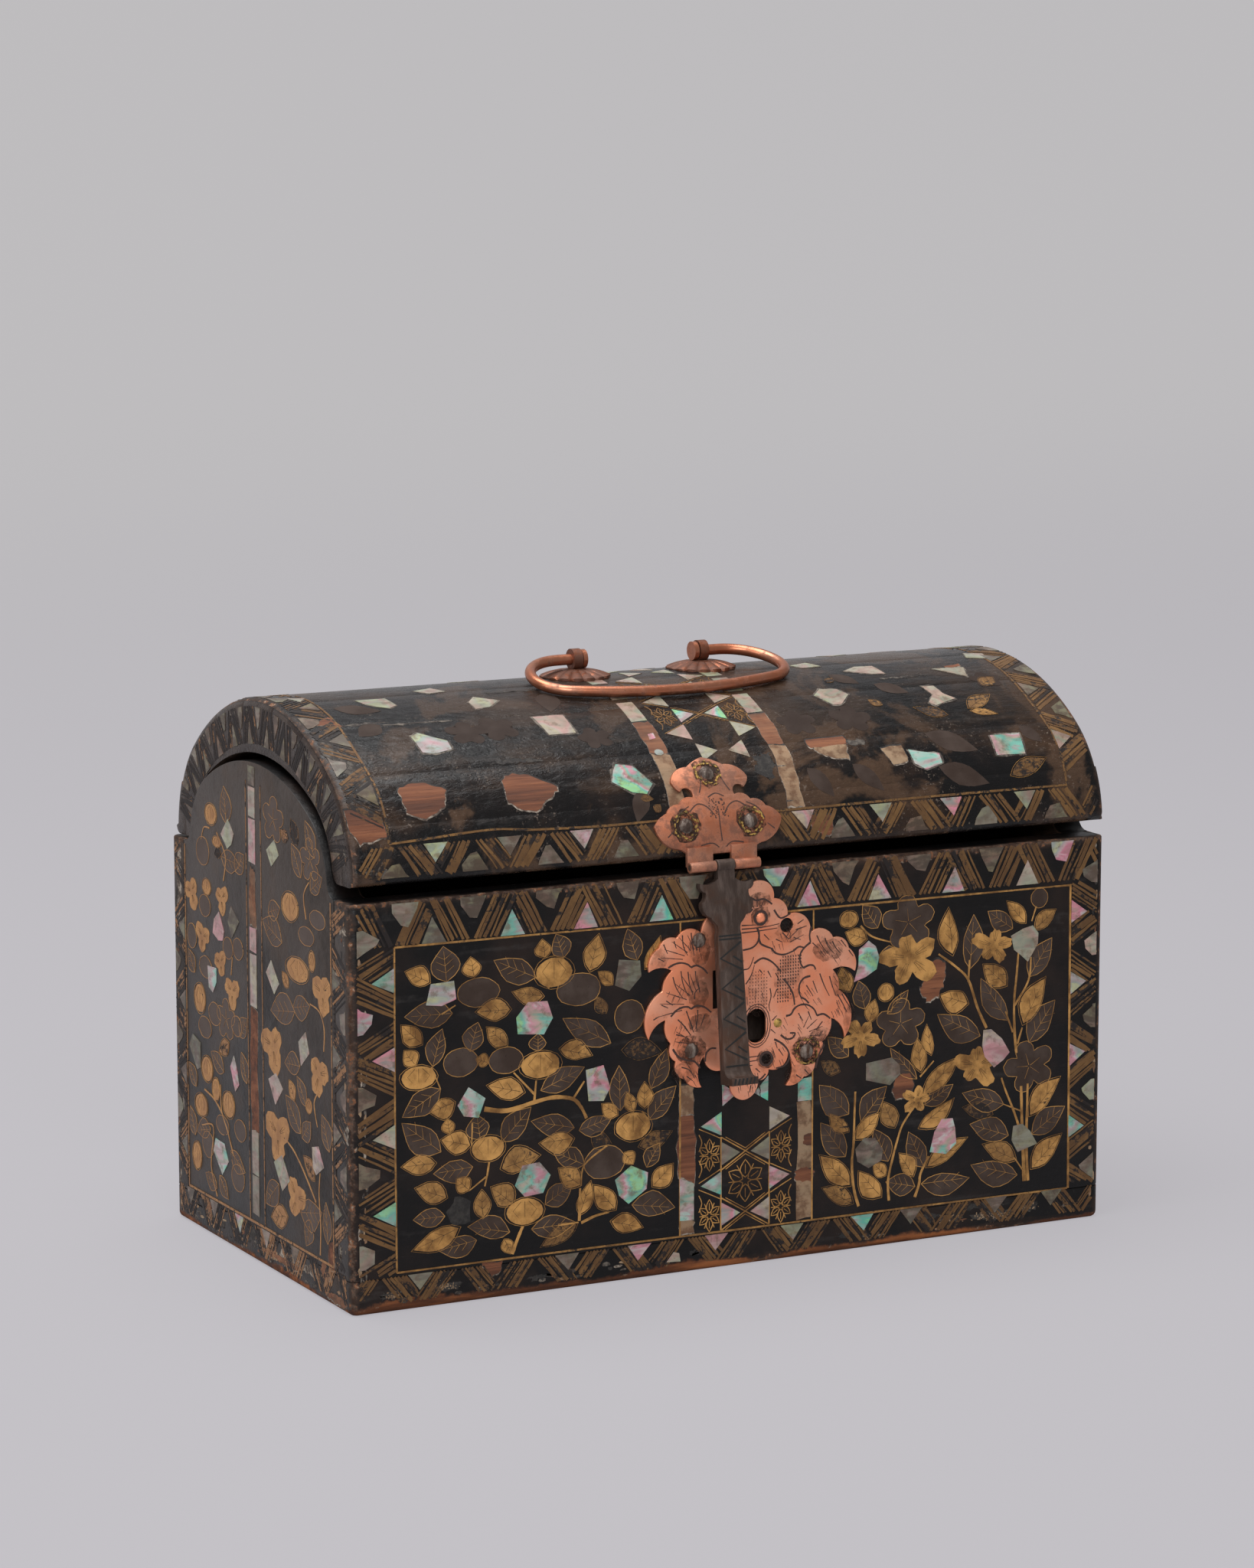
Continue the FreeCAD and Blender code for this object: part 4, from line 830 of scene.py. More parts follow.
def goldFlower(face, x, z, radius, turn, petals):
    lay(face, "gold", flowerOutline(x, z, radius, turn, petals, 0.5))
    for petal in range(petals):
        for swing in (-0.18, 0, 0.18):
            angle = turn + 2 * math.pi * petal / petals + swing
            needle(face, ray(x, z, radius, angle, (0.22, 0.4, 0.62 if swing else 0.78), flowerForm["tall"]))


def darkFlower(face, x, z, radius, turn):
    darkShape(face, flowerOutline(x, z, radius, turn))
    for petal in range(5):
        angle = turn + 2 * math.pi * petal / 5
        goldLine(face, ray(x, z, radius, angle, (0.05, 0.3, 0.5), flowerForm["tall"]), motifLook["vein"], 0.0, 0.5)


def shell(face, outline, kind):
    lay(face, "shell", outline, kind)


def lost(face, outline, tone=0.0, jitter=0.35):  # lacquer gone down to the wood, with a broken pale rim and a painted shadow along its upper edge
    middle = middleOf(outline)
    broken = ragged(outline, jitter, 4)
    # a dark rim shifted upward: painted shadow of the broken edge
    lay(face, "chip", spread(broken, middle, 0.05, 0.04, 0.35), 0.93)
    lay(face, "chip", spread(ragged(broken, 0.12, 2), middle, 0.03, 0.03, -0.3), 0.15)
    lay(face, "wood", broken, tone)


def chip(face, outline, shade=0.0, jitter=0.4):
    lay(face, "chip", ragged(outline, jitter), shade)


def flake(face, count, acrossU, acrossV):  # scattered small losses, longer the way the strip runs
    upright = acrossV[1] - acrossV[0] > acrossU[1] - acrossU[0]
    for k in range(count):
        long, short = dice.uniform(0.8, 3.4), dice.uniform(0.4, 1.1)
        width, height = (short, long) if upright else (long, short)
        outline = ovalOutline(dice.uniform(*acrossU), dice.uniform(*acrossV), width, height, 0, 0.3, 9)
        lay(face, dice.choice(("chip", "chip", "wood")), outline, dice.choice((0.1, 0.5, 0.7, 0.85, 0.95)))


def gritty(face, x, z, width, height):  # a crushed place: dark ground with pale crumbs
    chip(face, ovalOutline(x, z, width, height, 0, 0.3, 16), 0.9)
    for k in range(int(width * 6)):
        u, v = x + width * dice.gauss(0, 0.24), z + height * dice.gauss(0, 0.22)
        crumb = ovalOutline(u, v, dice.uniform(0.2, 0.8), dice.uniform(0.15, 0.45), dice.uniform(0, 3), 0.3, 6)
        lay(face, "wood", crumb, dice.uniform(0.7, 1.0))


# saw-tooth border between a frame line and an edge

borderForm = {"foot": 0.175, "reach": 0.64, "gap": 0.3, "points": 5, "triangle": 0.60, "scatter": (0.38, 0.62),
              "skew": 0.6, "wobble": 0.09, "broad": (0.34, 0.48, 0.6, 0.72, 0.84), "taper": (-0.3, 0.4),
              "age": (-0.1, 0.34), "hang": (0.42, 0.66)}


def border(face, alongU, start, end, line, edge, pitch, phase, inner, outer, stripes=5, faded=0.0):
    span = abs(edge - line)
    sign = 1 if edge > line else -1
    form = borderForm
    gap, skew, wobble, last = form["gap"], form["skew"], form["wobble"], form["points"] - 1
    base = pitch * form["foot"]
    lean = base / (span * form["reach"])
    wide = pitch / 2 - base

    def spots(points):  # t along the border, b across it
        return [(t, line + sign * b) if alongU else (line + sign * b, t) for t, b in points]

    number = math.floor((start - phase) / pitch)
    while phase + (number - 1) * pitch < end:
        peak = phase + number * pitch
        over = dice.choice((-1, 1))
        for side in (-1, 1):
            for stripe in range(stripes):
                away = base + wide * (stripe + dice.uniform(*form["scatter"])) / stripes
                top = span - gap if side == over else min(span - gap, (away + base) / (2 * lean) - gap)
                slant = shake(skew)
                points = []
                for k in range(last + 1):
                    b = gap + (top - gap) * k / last
                    t = peak - side * (away - lean * b) + slant * k / last + shake(wobble)
                    if start <= t <= end:
                        points.append((t, b))
                if len(points) > 1:
                    broad = wide / stripes * dice.choice(form["broad"])
                    outline = stroke(spots(points), broad, dice.uniform(*form["taper"]))
                    lay(face, "stripe", outline, faded + dice.uniform(*form["age"]))
        number += 1
    for place, kind in inner:  # triangles that stand on the line
        half, tall = base * 0.9, span * form["triangle"]
        points = [(place - half, 0.15), (place + half, 0.15), (place + shake(skew), tall)]
        shell(face, spots(points), kind)
    for place, kind in outer:  # worn pieces that hang from the edge
        half, tall = lean * span - 1.7, span * dice.uniform(*form["hang"])
        foot = max(0.5, lean * (span - tall) - 0.9)
        points = [(place - half * dice.uniform(0.75, 1), span - gap),
                  (place + half * dice.uniform(0.75, 1), span - gap),
                  (place + half * dice.uniform(0.6, 0.9), span - tall * 0.3),
                  (place + foot * dice.uniform(0.3, 0.9), span - tall),
                  (place - foot * dice.uniform(0.3, 0.9), span - tall * dice.uniform(0.85, 1)),
                  (place - half * dice.uniform(0.6, 0.9), span - tall * 0.4)]
        shell(face, spots(points), kind + dice.uniform(0, 0.12))


# front panels: branches of fruit on the left, tall flowering plants on the right
# a leaf is its base, tip and width; a shell ends with its tint

leftPanel = {
    "shells": [
        ((-92.4, 80.2), (-91, 85.6), (-84.4, 85.9), (-83.8, 81), (-88, 79.6), 0.6),
        ((-66.2, 70), (-66.6, 74.4), (-63.2, 78.2), (-57.6, 78), (-56, 73.4), (-58.6, 69.2), 1),
        ((-37.8, 80.2), (-36.6, 87), (-30.4, 86.2), (-30, 82), (-33.6, 78.4), 0.2),
        ((-83.6, 52.8), (-80.4, 57.4), (-75.6, 54), (-77.6, 49), (-81.8, 49.8), 1),
        ((-45.6, 50), (-46.4, 58.4), (-41.2, 59.2), (-39.2, 53), (-41.2, 49.6), 0.6),
        ((-67.2, 29.6), (-65, 34.8), (-60, 35.2), (-56.8, 31.4), (-59, 26.8), (-64.4, 26.4), 0.98),
        ((-37.8, 27.8), (-33, 31.2), (-28, 28.8), (-28.4, 24.4), (-33.8, 20.9), (-36.6, 23.4), 1)],
    "hollows": [((-87, 24.6), (-84.4, 29), (-80, 27), (-80.4, 21.6), (-84.8, 20.8))],
    "goldFruit": [
        (-55.6, 85.4, 11.4, 8.4), (-94.6, 61.4, 10.6, 6.5), (-59.6, 61.2, 12, 7.5), (-74.9, 40.5, 10, 7),
        (-32.4, 41.8, 11, 8), (-64.3, 22.4, 11.5, 7.5)],
    "darkFruit": [
        (-77.4, 82.2, 12, 7.8), (-48.4, 80.2, 12.8, 8.8), (-82.7, 64.2, 10, 7.5), (-69.6, 63.4, 10, 7.2),
        (-40.9, 33, 12.3, 9), (-33.5, 71.5, 9, 9)],
    "goldLeaves": [
        (-91, 86, -98.4, 89.6, 4.5), (-78.7, 86.1, -79.6, 91.8, 4.5), (-58.2, 89.3, -59, 94.6, 4),
        (-45.3, 84.4, -42.4, 94.6, 5.5), (-38.4, 80.5, -42.8, 84.4, 3), (-29, 83.6, -24.3, 92.4, 3.5),
        (-58.4, 79.3, -67.9, 81.4, 4), (-67.9, 76.8, -78.5, 77, 5), (-93.4, 69.9, -99.6, 75.8, 4.5),
        (-95.3, 64.6, -98.7, 69, 4), (-69.1, 67.1, -75.3, 72.9, 4), (-74.5, 63.3, -78.4, 64.6, 3),
        (-54.3, 64.9, -44.3, 62.1, 4.5), (-35.9, 62.7, -23.7, 60.8, 5), (-64, 54.3, -75.4, 57.3, 5),
        (-84.1, 53.9, -91.8, 51.8, 4.8), (-85.9, 45.5, -86.5, 49.8, 3.3), (-79.6, 41.8, -88.7, 44.3, 5.5),
        (-49.6, 40.5, -60.3, 40.2, 5), (-44.9, 40.8, -38.7, 37.7, 4), (-89.6, 38.3, -99.9, 38.3, 4.5),
        (-71.5, 34.6, -59.5, 37.1, 6), (-86.5, 28.6, -96.1, 32.3, 5), (-80.3, 29.9, -84.1, 33.6, 4),
        (-76.5, 21.8, -76.7, 29.9, 4.2), (-67.4, 24.6, -74.3, 30.2, 5.5), (-47.8, 27.4, -54.6, 33, 4.8),
        (-48.4, 19.3, -44.9, 28.6, 3.8), (-37.4, 19.6, -44.3, 27.4, 5), (-35, 35, -32.4, 31.4, 3.5),
        (-26.8, 24.6, -20.3, 30.5, 5), (-39.3, 16.8, -29.3, 13.9, 4.5), (-82.8, 20.5, -97.1, 15.6, 5),
        (-70.3, 15.8, -68.4, 11.4, 3), (-48.7, 17.4, -59.9, 12.1, 4), (-29, 46, -29, 53.6, 4),
        (-32.4, 45.5, -34.3, 51.4, 3), (-36.8, 45.2, -41.8, 48.9, 3.5), (-31, 36, -20.6, 39.3, 4),
        (-40.3, 73, -43.4, 78, 3)],
    "faded": [(-23.7, 60.8), (-20.6, 39.3), (-43.4, 78), (-59.9, 12.1), (-38.7, 37.7)],
    "darkLeaves": [
        (-86.5, 85.8, -87.4, 95.2, 6.8), (-60.9, 84.6, -73, 90.2, 5.5), (-52.8, 89, -55, 95.5, 4.8),
        (-31.2, 86.4, -34.1, 95, 4.8), (-84.9, 77.4, -98.5, 77.7, 5.8), (-90.6, 63.9, -87.8, 73.6, 4.5),
        (-79.9, 66.8, -77.6, 74.3, 5), (-60.3, 64.9, -60.3, 69.6, 4), (-39, 64.9, -53.1, 72.9, 5.5),
        (-59.6, 54.3, -46.8, 59.3, 5), (-88.4, 57.7, -99.3, 51.4, 5.5), (-88.4, 41.1, -99.5, 49.9, 6),
        (-77.1, 43, -78.1, 49.9, 5.5), (-70.9, 41.8, -62.4, 50.2, 5.5), (-49.8, 43.3, -62.4, 46.4, 5),
        (-48.4, 42.4, -38.7, 44.9, 4.5), (-79.3, 36.1, -90.6, 35.5, 5), (-46.8, 33, -56.2, 37.7, 4.8),
        (-87.4, 23.9, -96.5, 23.9, 4.2), (-58.4, 23.6, -50.3, 28.3, 5), (-28.4, 30.2, -24.5, 36.4, 4),
        (-32.8, 20.5, -19.9, 18.3, 5.5), (-68.7, 17.4, -80.9, 20.2, 5), (-62.4, 17.4, -49.3, 17.7, 5),
        (-78.3, 16.4, -89.3, 14.9, 4.8), (-27.1, 51.4, -22.4, 61.8, 4.5), (-27.8, 43, -19.6, 51.4, 5),
        (-36.2, 46.4, -36.6, 58.6, 4.8)],
    "stems": [
        ([(-75.9, 51.1), (-69.3, 50), (-61.5, 51.4), (-55.6, 52.1), (-50.3, 51.1), (-47.8, 48.6),
         (-46.2, 45.5)], 1.7), ([(-49.9, 51.4), (-46.8, 55.5)], 0.9), ([(-61.5, 51.4), (-60.9, 57.1)], 0.9),
        ([(-61.5, 53.6), (-67.4, 59.9)], 0.8), ([(-74.6, 36.8), (-75.2, 33.4), (-75.9, 30.5)], 0.8),
        ([(-75.5, 33), (-80.3, 29.9)], 0.6), ([(-68.1, 11.4), (-66.6, 15), (-64.9, 18.6)], 1.5),
        ([(-48.4, 18), (-48.1, 26.8)], 1.1), ([(-47.8, 17.4), (-43.6, 18.8), (-39.6, 19.3)], 1),
        ([(-88, 77.4), (-84, 79.4)], 0.6), ([(-91, 63.8), (-88.4, 57.7)], 0.6), ([(-57, 81.4), (-61, 84.6)], 0.6),
        ([(-40.2, 37.4), (-46.8, 33), (-47.8, 27.4)], 0.7), ([(-54.6, 17.6), (-48.6, 17.6)], 0.8),
        ([(-79.4, 47.8), (-79.6, 41.8)], 0.6), ([(-29.8, 45.6), (-27.8, 43)], 0.6)],
}

rightPanel = {
    "shells": [
        ((36, 83), (39, 85.2), (41.2, 83.5), (42.3, 80.5), (41.5, 77.2), (38, 75.3), (34.5, 74.3), (35.8, 78.5), 1),
        ((84, 82.5), (88, 84.2), (91, 84.8), (92.8, 82.5), (92.6, 79.5), (89.5, 74.8), (87, 77), (85, 78.5), 0.35),
        ((75.5, 57), (78, 57), (81.5, 54), (84, 50), (82, 48), (79, 46.2), (76, 49.5), (75.2, 52.5), 0.5),
        ((38.5, 51.5), (46.5, 52.3), (49, 50), (49.2, 47.5), (46, 44.7), (38.5, 46.8), 0.22),
        ((62.5, 33.5), (66, 33.3), (66.8, 30.5), (67.2, 26.2), (64, 23.5), (58.8, 24.6), (60.2, 30), 1),
        ((38, 30.8), (41.5, 30.5), (44, 27), (43.5, 24), (39.5, 22.3), (36, 24.5), (35.3, 28), 0.18),
        ((85.5, 29), (88.5, 29.3), (91, 27), (93.3, 23.2), (87, 21.5), (85, 25), 0.27)],
    "lost": [
        ((57, 76), (60.5, 78.3), (63.3, 76.8), (63.2, 73.5), (62.5, 70.5), (61, 68), (57.5, 66.5), (55.3, 70.5),
         (56.8, 73)), ((47.5, 45.5), (49.5, 47.5), (52.5, 47.5), (54, 44), (52, 40.4), (48, 40.6), (46.6, 43))],
    "goldFruit": [(44.5, 70.5, 5, 5), (32.8, 91.6, 5.6, 4.8)],
    "darkFruit": [(93, 92.3, 5.4, 5.6)],
    "goldFlowers": [
        (52, 79.4, 9, 0.5), (78.6, 80.2, 6.6, 0.2), (36.8, 59, 6.2, 0.9), (73.6, 47.4, 7.2, 0.3),
        (54.6, 39.8, 4.6, 0.1)],
    "darkFlowers": [(51.4, 89.2, 8.4, 0.4), (49.2, 61.4, 7.8, 0.3), (90.4, 45.4, 8.2, 0.6)],
    "goldLeaves": [
        (65.5, 78.5, 64, 92.3, 5.2), (88.8, 85.5, 82.4, 92.4, 3.6), (91.5, 83.5, 98.5, 88.8, 3.8),
        (83, 68.5, 75, 75.5, 5.2), (70.8, 64.8, 61.2, 68.2, 5.5), (88, 57, 95.5, 70.2, 5.8), (55.8, 47, 54.5, 57, 4),
        (59, 51.5, 57.5, 60.5, 3), (39.5, 62.5, 41.2, 69, 3.5), (30.5, 50, 24.5, 53.5, 3.2),
        (38.6, 85.6, 31.6, 88.2, 4.2), (33.4, 71.6, 30.4, 79, 4.6), (56, 40.6, 68, 50.4, 4.6),
        (35.2, 30.5, 43, 37.5, 4.2), (47.8, 32.5, 43.8, 40.5, 4.6), (55, 31.5, 66.5, 39, 4.2), (79, 33, 69, 36, 4),
        (90.5, 31, 100.8, 41.5, 5.2), (86.8, 19.2, 75.5, 25, 4.6), (91.2, 16, 101.5, 25.3, 5.2),
        (57.5, 20.3, 71, 27.5, 4.2), (53.8, 18.2, 49, 25.5, 4), (45, 19.5, 41, 23.5, 3.5),
        (43.8, 13.6, 36.3, 22, 5.2), (34.2, 17.8, 24, 27.8, 5.2), (35, 12.8, 24.8, 18.5, 4.2), (33.5, 33, 27, 39, 3.5)],
    "faded": [(24.5, 53.5), (24.8, 18.5), (27, 39), (69, 36)],
    "darkLeaves": [
        (41.8, 88.5, 37, 95, 4.8), (48, 80.5, 42, 80.5, 4.5), (71, 74.5, 72, 89.5, 5.5), (84.5, 84.5, 76.5, 90, 4.5),
        (90, 70.5, 97.2, 80.8, 5.5), (83.2, 59, 74.5, 71.5, 5), (74.5, 55.5, 60.8, 62.8, 6),
        (90.2, 52, 98.5, 63.2, 6), (45, 64.5, 51.5, 70.5, 3.2), (38, 66.5, 36, 74.5, 4.5), (33, 54, 26.5, 60, 4),
        (54.5, 45.5, 46, 55, 3.5), (57, 38, 66, 42.8, 4), (82.3, 35.5, 69, 40, 5.2), (84, 26.5, 71.5, 31, 5.5),
        (91.5, 26, 102.2, 32.8, 5.5), (87, 15, 72, 19.5, 5.8), (33.2, 38, 24, 47, 6), (37, 35.5, 45, 44.5, 5.2),
        (32.3, 26.3, 24.5, 36.5, 5.5), (45.7, 23.5, 41, 33, 5), (57, 20.5, 52, 31, 5), (54.2, 15.5, 45, 17.8, 5.2),
        (56.2, 16, 71.5, 16, 5.2)],
    "stems": [
        ([(36.5, 12), (35, 17), (34.3, 24), (34.8, 30), (35, 38), (35.2, 44)], 1.1),
        ([(46, 12.5), (45.7, 18), (47, 24), (48.5, 29), (50, 33), (53, 37)], 1),
        ([(54.2, 12.5), (55.5, 16), (56, 19), (58.5, 23.5)], 1.2),
        ([(89.3, 13), (88.8, 22), (88.3, 30), (87.9, 40)], 1.6),
        ([(90.5, 13), (89.8, 24), (89.9, 32), (90, 40.5)], 1.2),
        ([(88, 27), (85.5, 33.5), (83, 39), (81.5, 43)], 1),
        ([(86.2, 49.5), (85.5, 56), (85.3, 64), (86, 72), (86.5, 78)], 1.1),
        ([(85.5, 63), (89.8, 69.5), (90.5, 76)], 0.9),
        ([(76.5, 57.5), (73.5, 63.5), (70.5, 71.5), (66.5, 75.5), (61, 79.5)], 1.1), ([(70.5, 71), (70.8, 77)], 0.8),
        ([(86.5, 52), (88, 56.5)], 0.8), ([(85, 55.5), (82.5, 61.5)], 0.8),
        ([(36.5, 89.5), (40, 86.3), (46, 84.2)], 0.8), ([(87.9, 33), (82.3, 35.5)], 0.6),
        ([(88.6, 16.4), (86, 20)], 0.6), ([(55.5, 46), (59.8, 50)], 0.7), ([(92, 90), (90.6, 86)], 0.6)],
}


def dressPanel(face, panel, sign=1):  # sign -1 mirrors it
    full = motifLook["leafFull"]
    for u, v, tipU, tipV, width in panel["darkLeaves"]:
        darkLeaf(face, (sign * u, v), (sign * tipU, tipV), width * full)
    for x, z, width, height in panel["darkFruit"]:
        darkShape(face, ovalOutline(sign * x, z, width, height))
    for x, z, radius, turn in panel.get("darkFlowers", ()):
        darkFlower(face, sign * x, z, radius, turn)
    for points, width in panel["stems"]:
        goldLine(face, flowing(flipped(points, sign)), width * motifLook["stem"], 0.0, 0.35)
    for u, v, tipU, tipV, width in panel["goldLeaves"]:
        faded = motifLook["fade"] if (tipU, tipV) in panel["faded"] else 0.0
        goldLeaf(face, (sign * u, v), (sign * tipU, tipV), width * full, faded)
    for x, z, width, height in panel["goldFruit"]:
        goldFruit(face, sign * x, z, width, height)
    for x, z, radius, turn in panel.get("goldFlowers", ()):
        goldFlower(face, sign * x, z, radius, turn, panel.get("petals", 5))
    for *outline, kind in panel["shells"]:
        shell(face, flipped(outline, sign), kind)
    for outline in panel.get("lost", ()):
        lost(face, flipped(outline, sign))
    for outline in panel.get("hollows", ()):
        chip(face, flipped(outline, sign), 0.95)


# the band between the panels: shell stars on a lattice of gold lines and blooms

bandForm = {"axis": 1.4, "left": -18.4, "right": 21.9, "starHalf": 3.2, "starTip": 0.22, "low": 10,
            "box": {"stars": (7.3, 6.2), "lattice": (7.2, 4.4)}, "lid": {"stars": (7, 6.4), "lattice": (7, 4)}}
bloomForm = {"petal": (0.16, 1), "inner": (0.34, 0.56, 0.78), "spur": (0.52, 0.7, 0.88), "wide": 0.56}
latticeForm = {"bloom": 3.4, "bloomTall": 1.3, "bloomOut": 3.7, "arm": [(0.5, 4.3), (3.7, 5.9), (6.9, 7.4)],
               "curl": [(6.9, 1.2), (6, 3.6), (6.9, 5.8)]}


def bandStars(face, rows, half, reach, first=0):  # triangles point out in every other row
    axis, tall = bandForm["axis"], bandForm["starHalf"]
    for number, (place, kinds) in enumerate(rows, first):
        for side, kind in zip((-1, 1), kinds):
            foot = axis + side * half
            tip = axis + side * half * bandForm["starTip"] if number % 2 else axis + side * (half + reach)
            shell(face, [(foot, place + tall), (foot, place - tall), (tip, place + shake(0.3))], kind)


def bloom(face, x, z, radius, faded=0.0, tall=1.0):  # a six-petalled flower in double line
    for petal in range(6):
        angle = math.pi * (petal / 3 + 1 / 6)
        base, tip = ray(x, z, radius, angle, bloomForm["petal"], tall)
        rim(face, leafOutline(base, tip, radius * bloomForm["wide"], 0, 6), 0.24, faded)
        goldLine(face, ray(x, z, radius, angle, bloomForm["inner"], tall), 0.22, faded, 0.4)
        goldLine(face, ray(x, z, radius, angle + math.pi / 6, bloomForm["spur"], tall), 0.34, faded, 0.5)


def lattice(face, crossings, half, rise, faded=0.0):
    axis, form = bandForm["axis"], latticeForm
    for z in crossings:
        for side in (-1, 1):
            edge = axis + side * half
            for lift in (-rise, rise):
                goldLine(face, [(edge, z + lift), (axis + side * half * 0.5, z + lift * 0.5), (axis, z)], 0.34, faded)
                goldLine(face, [(edge - side * 1.2, z + lift), (axis, z + lift * 0.18)], 0.2, faded)
        for side in (-1, 1):
            edge = axis + side * half
            bloom(face, edge + side * form["bloomOut"], z, form["bloom"], faded, form["bloomTall"])
            for lift in (-1, 1):
                arm, curl = [[(edge + side * out, z + lift * up) for out, up in form[key]] for key in ("arm", "curl")]
                if arm[-1][1] < bandForm["low"]:  # below the framing line
                    continue
                goldLine(face, arm, 0.24, faded)
                goldLine(face, flowing(curl, 3), 0.26, faded)


def dressBox(face, dress):  # what the front and the back share
    dressPanel(face, leftPanel)
    dressPanel(face, rightPanel)
    for line in dress["lines"]:
        goldLine(face, *line)
    for run in dress["borders"]:
        border(face, *run)
    lattice(face, dress["crossings"], *bandForm["box"]["lattice"])
    for place in dress.get("blooms", ()):
        bloom(face, *place)
    for line in dress.get("bandLines", ()):
        goldLine(face, *line)
    bandStars(face, dress["stars"], *bandForm["box"]["stars"])
    for *outline, kind in dress["bandShells"]:
        shell(face, outline, kind)


frontDress = {
    "lines": [  # framing lines: points, width, fade
        (flowing([(-101.2, 96.1), (-60, 95.9), (-20, 95.5), (30, 95.4), (70, 95.2), (103.3, 95)]), 0.5, 0.2),
        (flowing([(-101.2, 10.4), (-60, 10.3), (0, 10), (50, 9.8), (103.3, 9.4)]), 0.5, 0.22),
        ([(-101.2, 10.4), (-101.4, 50), (-101.2, 96.1)], 0.5, 0.22),
        ([(103.6, 9.4), (103.3, 50), (103, 95)], 0.6, 0.05),
        *[([(x, 10.2), (x, 50), (x, 95.4)], 0.45, 0.1) for x in (bandForm["left"], bandForm["right"])]],
    "borders": [  # along u, start, end, line, edge, pitch, phase, inner and outer shells, stripes, fade
        (True, -111.8, 111.8, 96.2, 107.8, 22.2, -90.3,
         [(-90, 0.2), (-67.5, 0.75), (-46.3, 0.6), (-24, 0.8), (20.4, 0.6), (42.4, 0.55), (65.4, 0.62), (89, 0.4)],
         [(-98.5, 0.2), (-79, 0.05), (-57, 0), (-34, 0), (-14.5, 0.2), (10.4, 0.6), (31.5, 0.05), (54.5, 0.02),
          (77, 0.02), (100, 0.5)]),
        (True, -111.8, 111.8, 9.6, 2.1, 22.3, -94.6,
         [(-94.5, 0.25), (-52, 0.22), (-30.5, 0.62), (-7.3, 0.5), (15.8, 0.3), (37.6, 0.82), (53, 0.2), (80.3, 0.2),
          (98.2, 0.1)], [], 7, 0.10),
        (False, 10, 96, -101.2, -112, 20.4, 26.2, [(87.5, 0.8), (66.8, 0.6), (46.5, 0.4), (26, 0.75)],
         [(98, 0.2), (77.5, 0.5), (57, 0.03), (37, 0.03), (15.5, 0.2)]),
        (False, 10, 96, 103.3, 112, 20.2, 27, [(87.6, 0.6), (67.5, 0.58), (47.2, 0.62), (27, 0.75)],
         [(98, 0.1), (78, 0.35), (57.5, 0.1), (36.7, 0.3), (15, 0.1)])],
    "crossings": [31.4, 14.8], "blooms": [(1.4, 23.2, 5.8)],
    "bandLines": [([(x, 10.4), (x, 25), (x, 36)], 0.4) for x in (-6, 8.7)],
    "stars": [(39.6, (1, 0.45)), (31.4, (0.25, 0.25)), (23.3, (0.8, 0.62)), (14.8, (0.6, 0.45))],
    "bandShells": [
        ((-5.8, 50.5), (-5.6, 44.4), (-1.2, 47.4), 1), ((8.3, 51.3), (8.2, 44.4), (4, 47), 0.8),
        ((-18.5, 26), (-14.2, 24.2), (-14.2, 14.2), (-18.4, 14.4), 0.9),
        ((17.4, 43.2), (21.6, 43.2), (21.6, 49.6), (17.4, 49.2), 0.85),
        ((-22.4, 3.6), (-20.2, 6.1), (-18.6, 5.6), (-18.2, 3.3), 0.4)],
    "bandLost": [  # the last value is the tone of the wood
        ((-18.6, 42.8), (-14.2, 43), (-13.6, 34), (-13.8, 24.2), (-18.6, 26.2), (-19.2, 35), 0),
        ((-18.4, 51), (-14.4, 51.4), (-14.2, 43), (-18.5, 43.2), 0.75),
        ((-18.4, 14.4), (-14.2, 14.2), (-14.2, 11), (-18.4, 11), 0.7)],
    "filled": [(24.4, 43), (10.6, 22.4)],  # heights of the filled strips on the right of the band
    "lost": [((16.6, 21.2), (21.9, 20.6), (22.6, 23.6), (19.4, 25), (16.8, 24)),
             ((18.8, 31), (21.8, 30.6), (21.6, 34.2), (19.6, 33.8)),
             ((-77, 10), (-70.6, 10), (-72, 6.6), (-74.6, 6.2))],
    "gritty": [(-88, 5, 9), (66, 5.4, 7), (79, 4.6, 14), (91, 5.6, 6), (-103, 4.6, 5)],
    "chips": [(32, 4.6, 4), (-13, 5.4, 5), (59, 6.4, 8), (76, 7.4, 12), (-60, 4.2, 6)],
    "flakes": [(46, (-111.6, -109.2), (4, 106)), (26, (110.4, 111.8), (4, 106)), (40, (-108, 110), (2.6, 5.4))],
}


def dressFront():
    dress = frontDress
    dressBox(front, dress)
    for *outline, tone in dress["bandLost"]:
        lost(front, outline, tone)
    for low, high in dress["filled"]:
        strip = [(17.3, low), (21.7, low), (21.8, (low + high) / 2), (21.5, high), (17.2, high)]
        lay(front, "wood", ragged(strip, 0.3), 0.8)
    for outline in dress["lost"]:
        lost(front, outline)
    for x, z, width in dress["gritty"]:  # broken foot
        gritty(front, x, z, width, 2.6)
    for x, z, width in dress["chips"]:
        chip(front, ovalOutline(x, z, width, 1.6, 0, 0.35, 14), 0.95)
    for strip in dress["flakes"]:
        flake(front, *strip)
    print("front dressed")


dressFront()


# left end, and the right end as its mirror

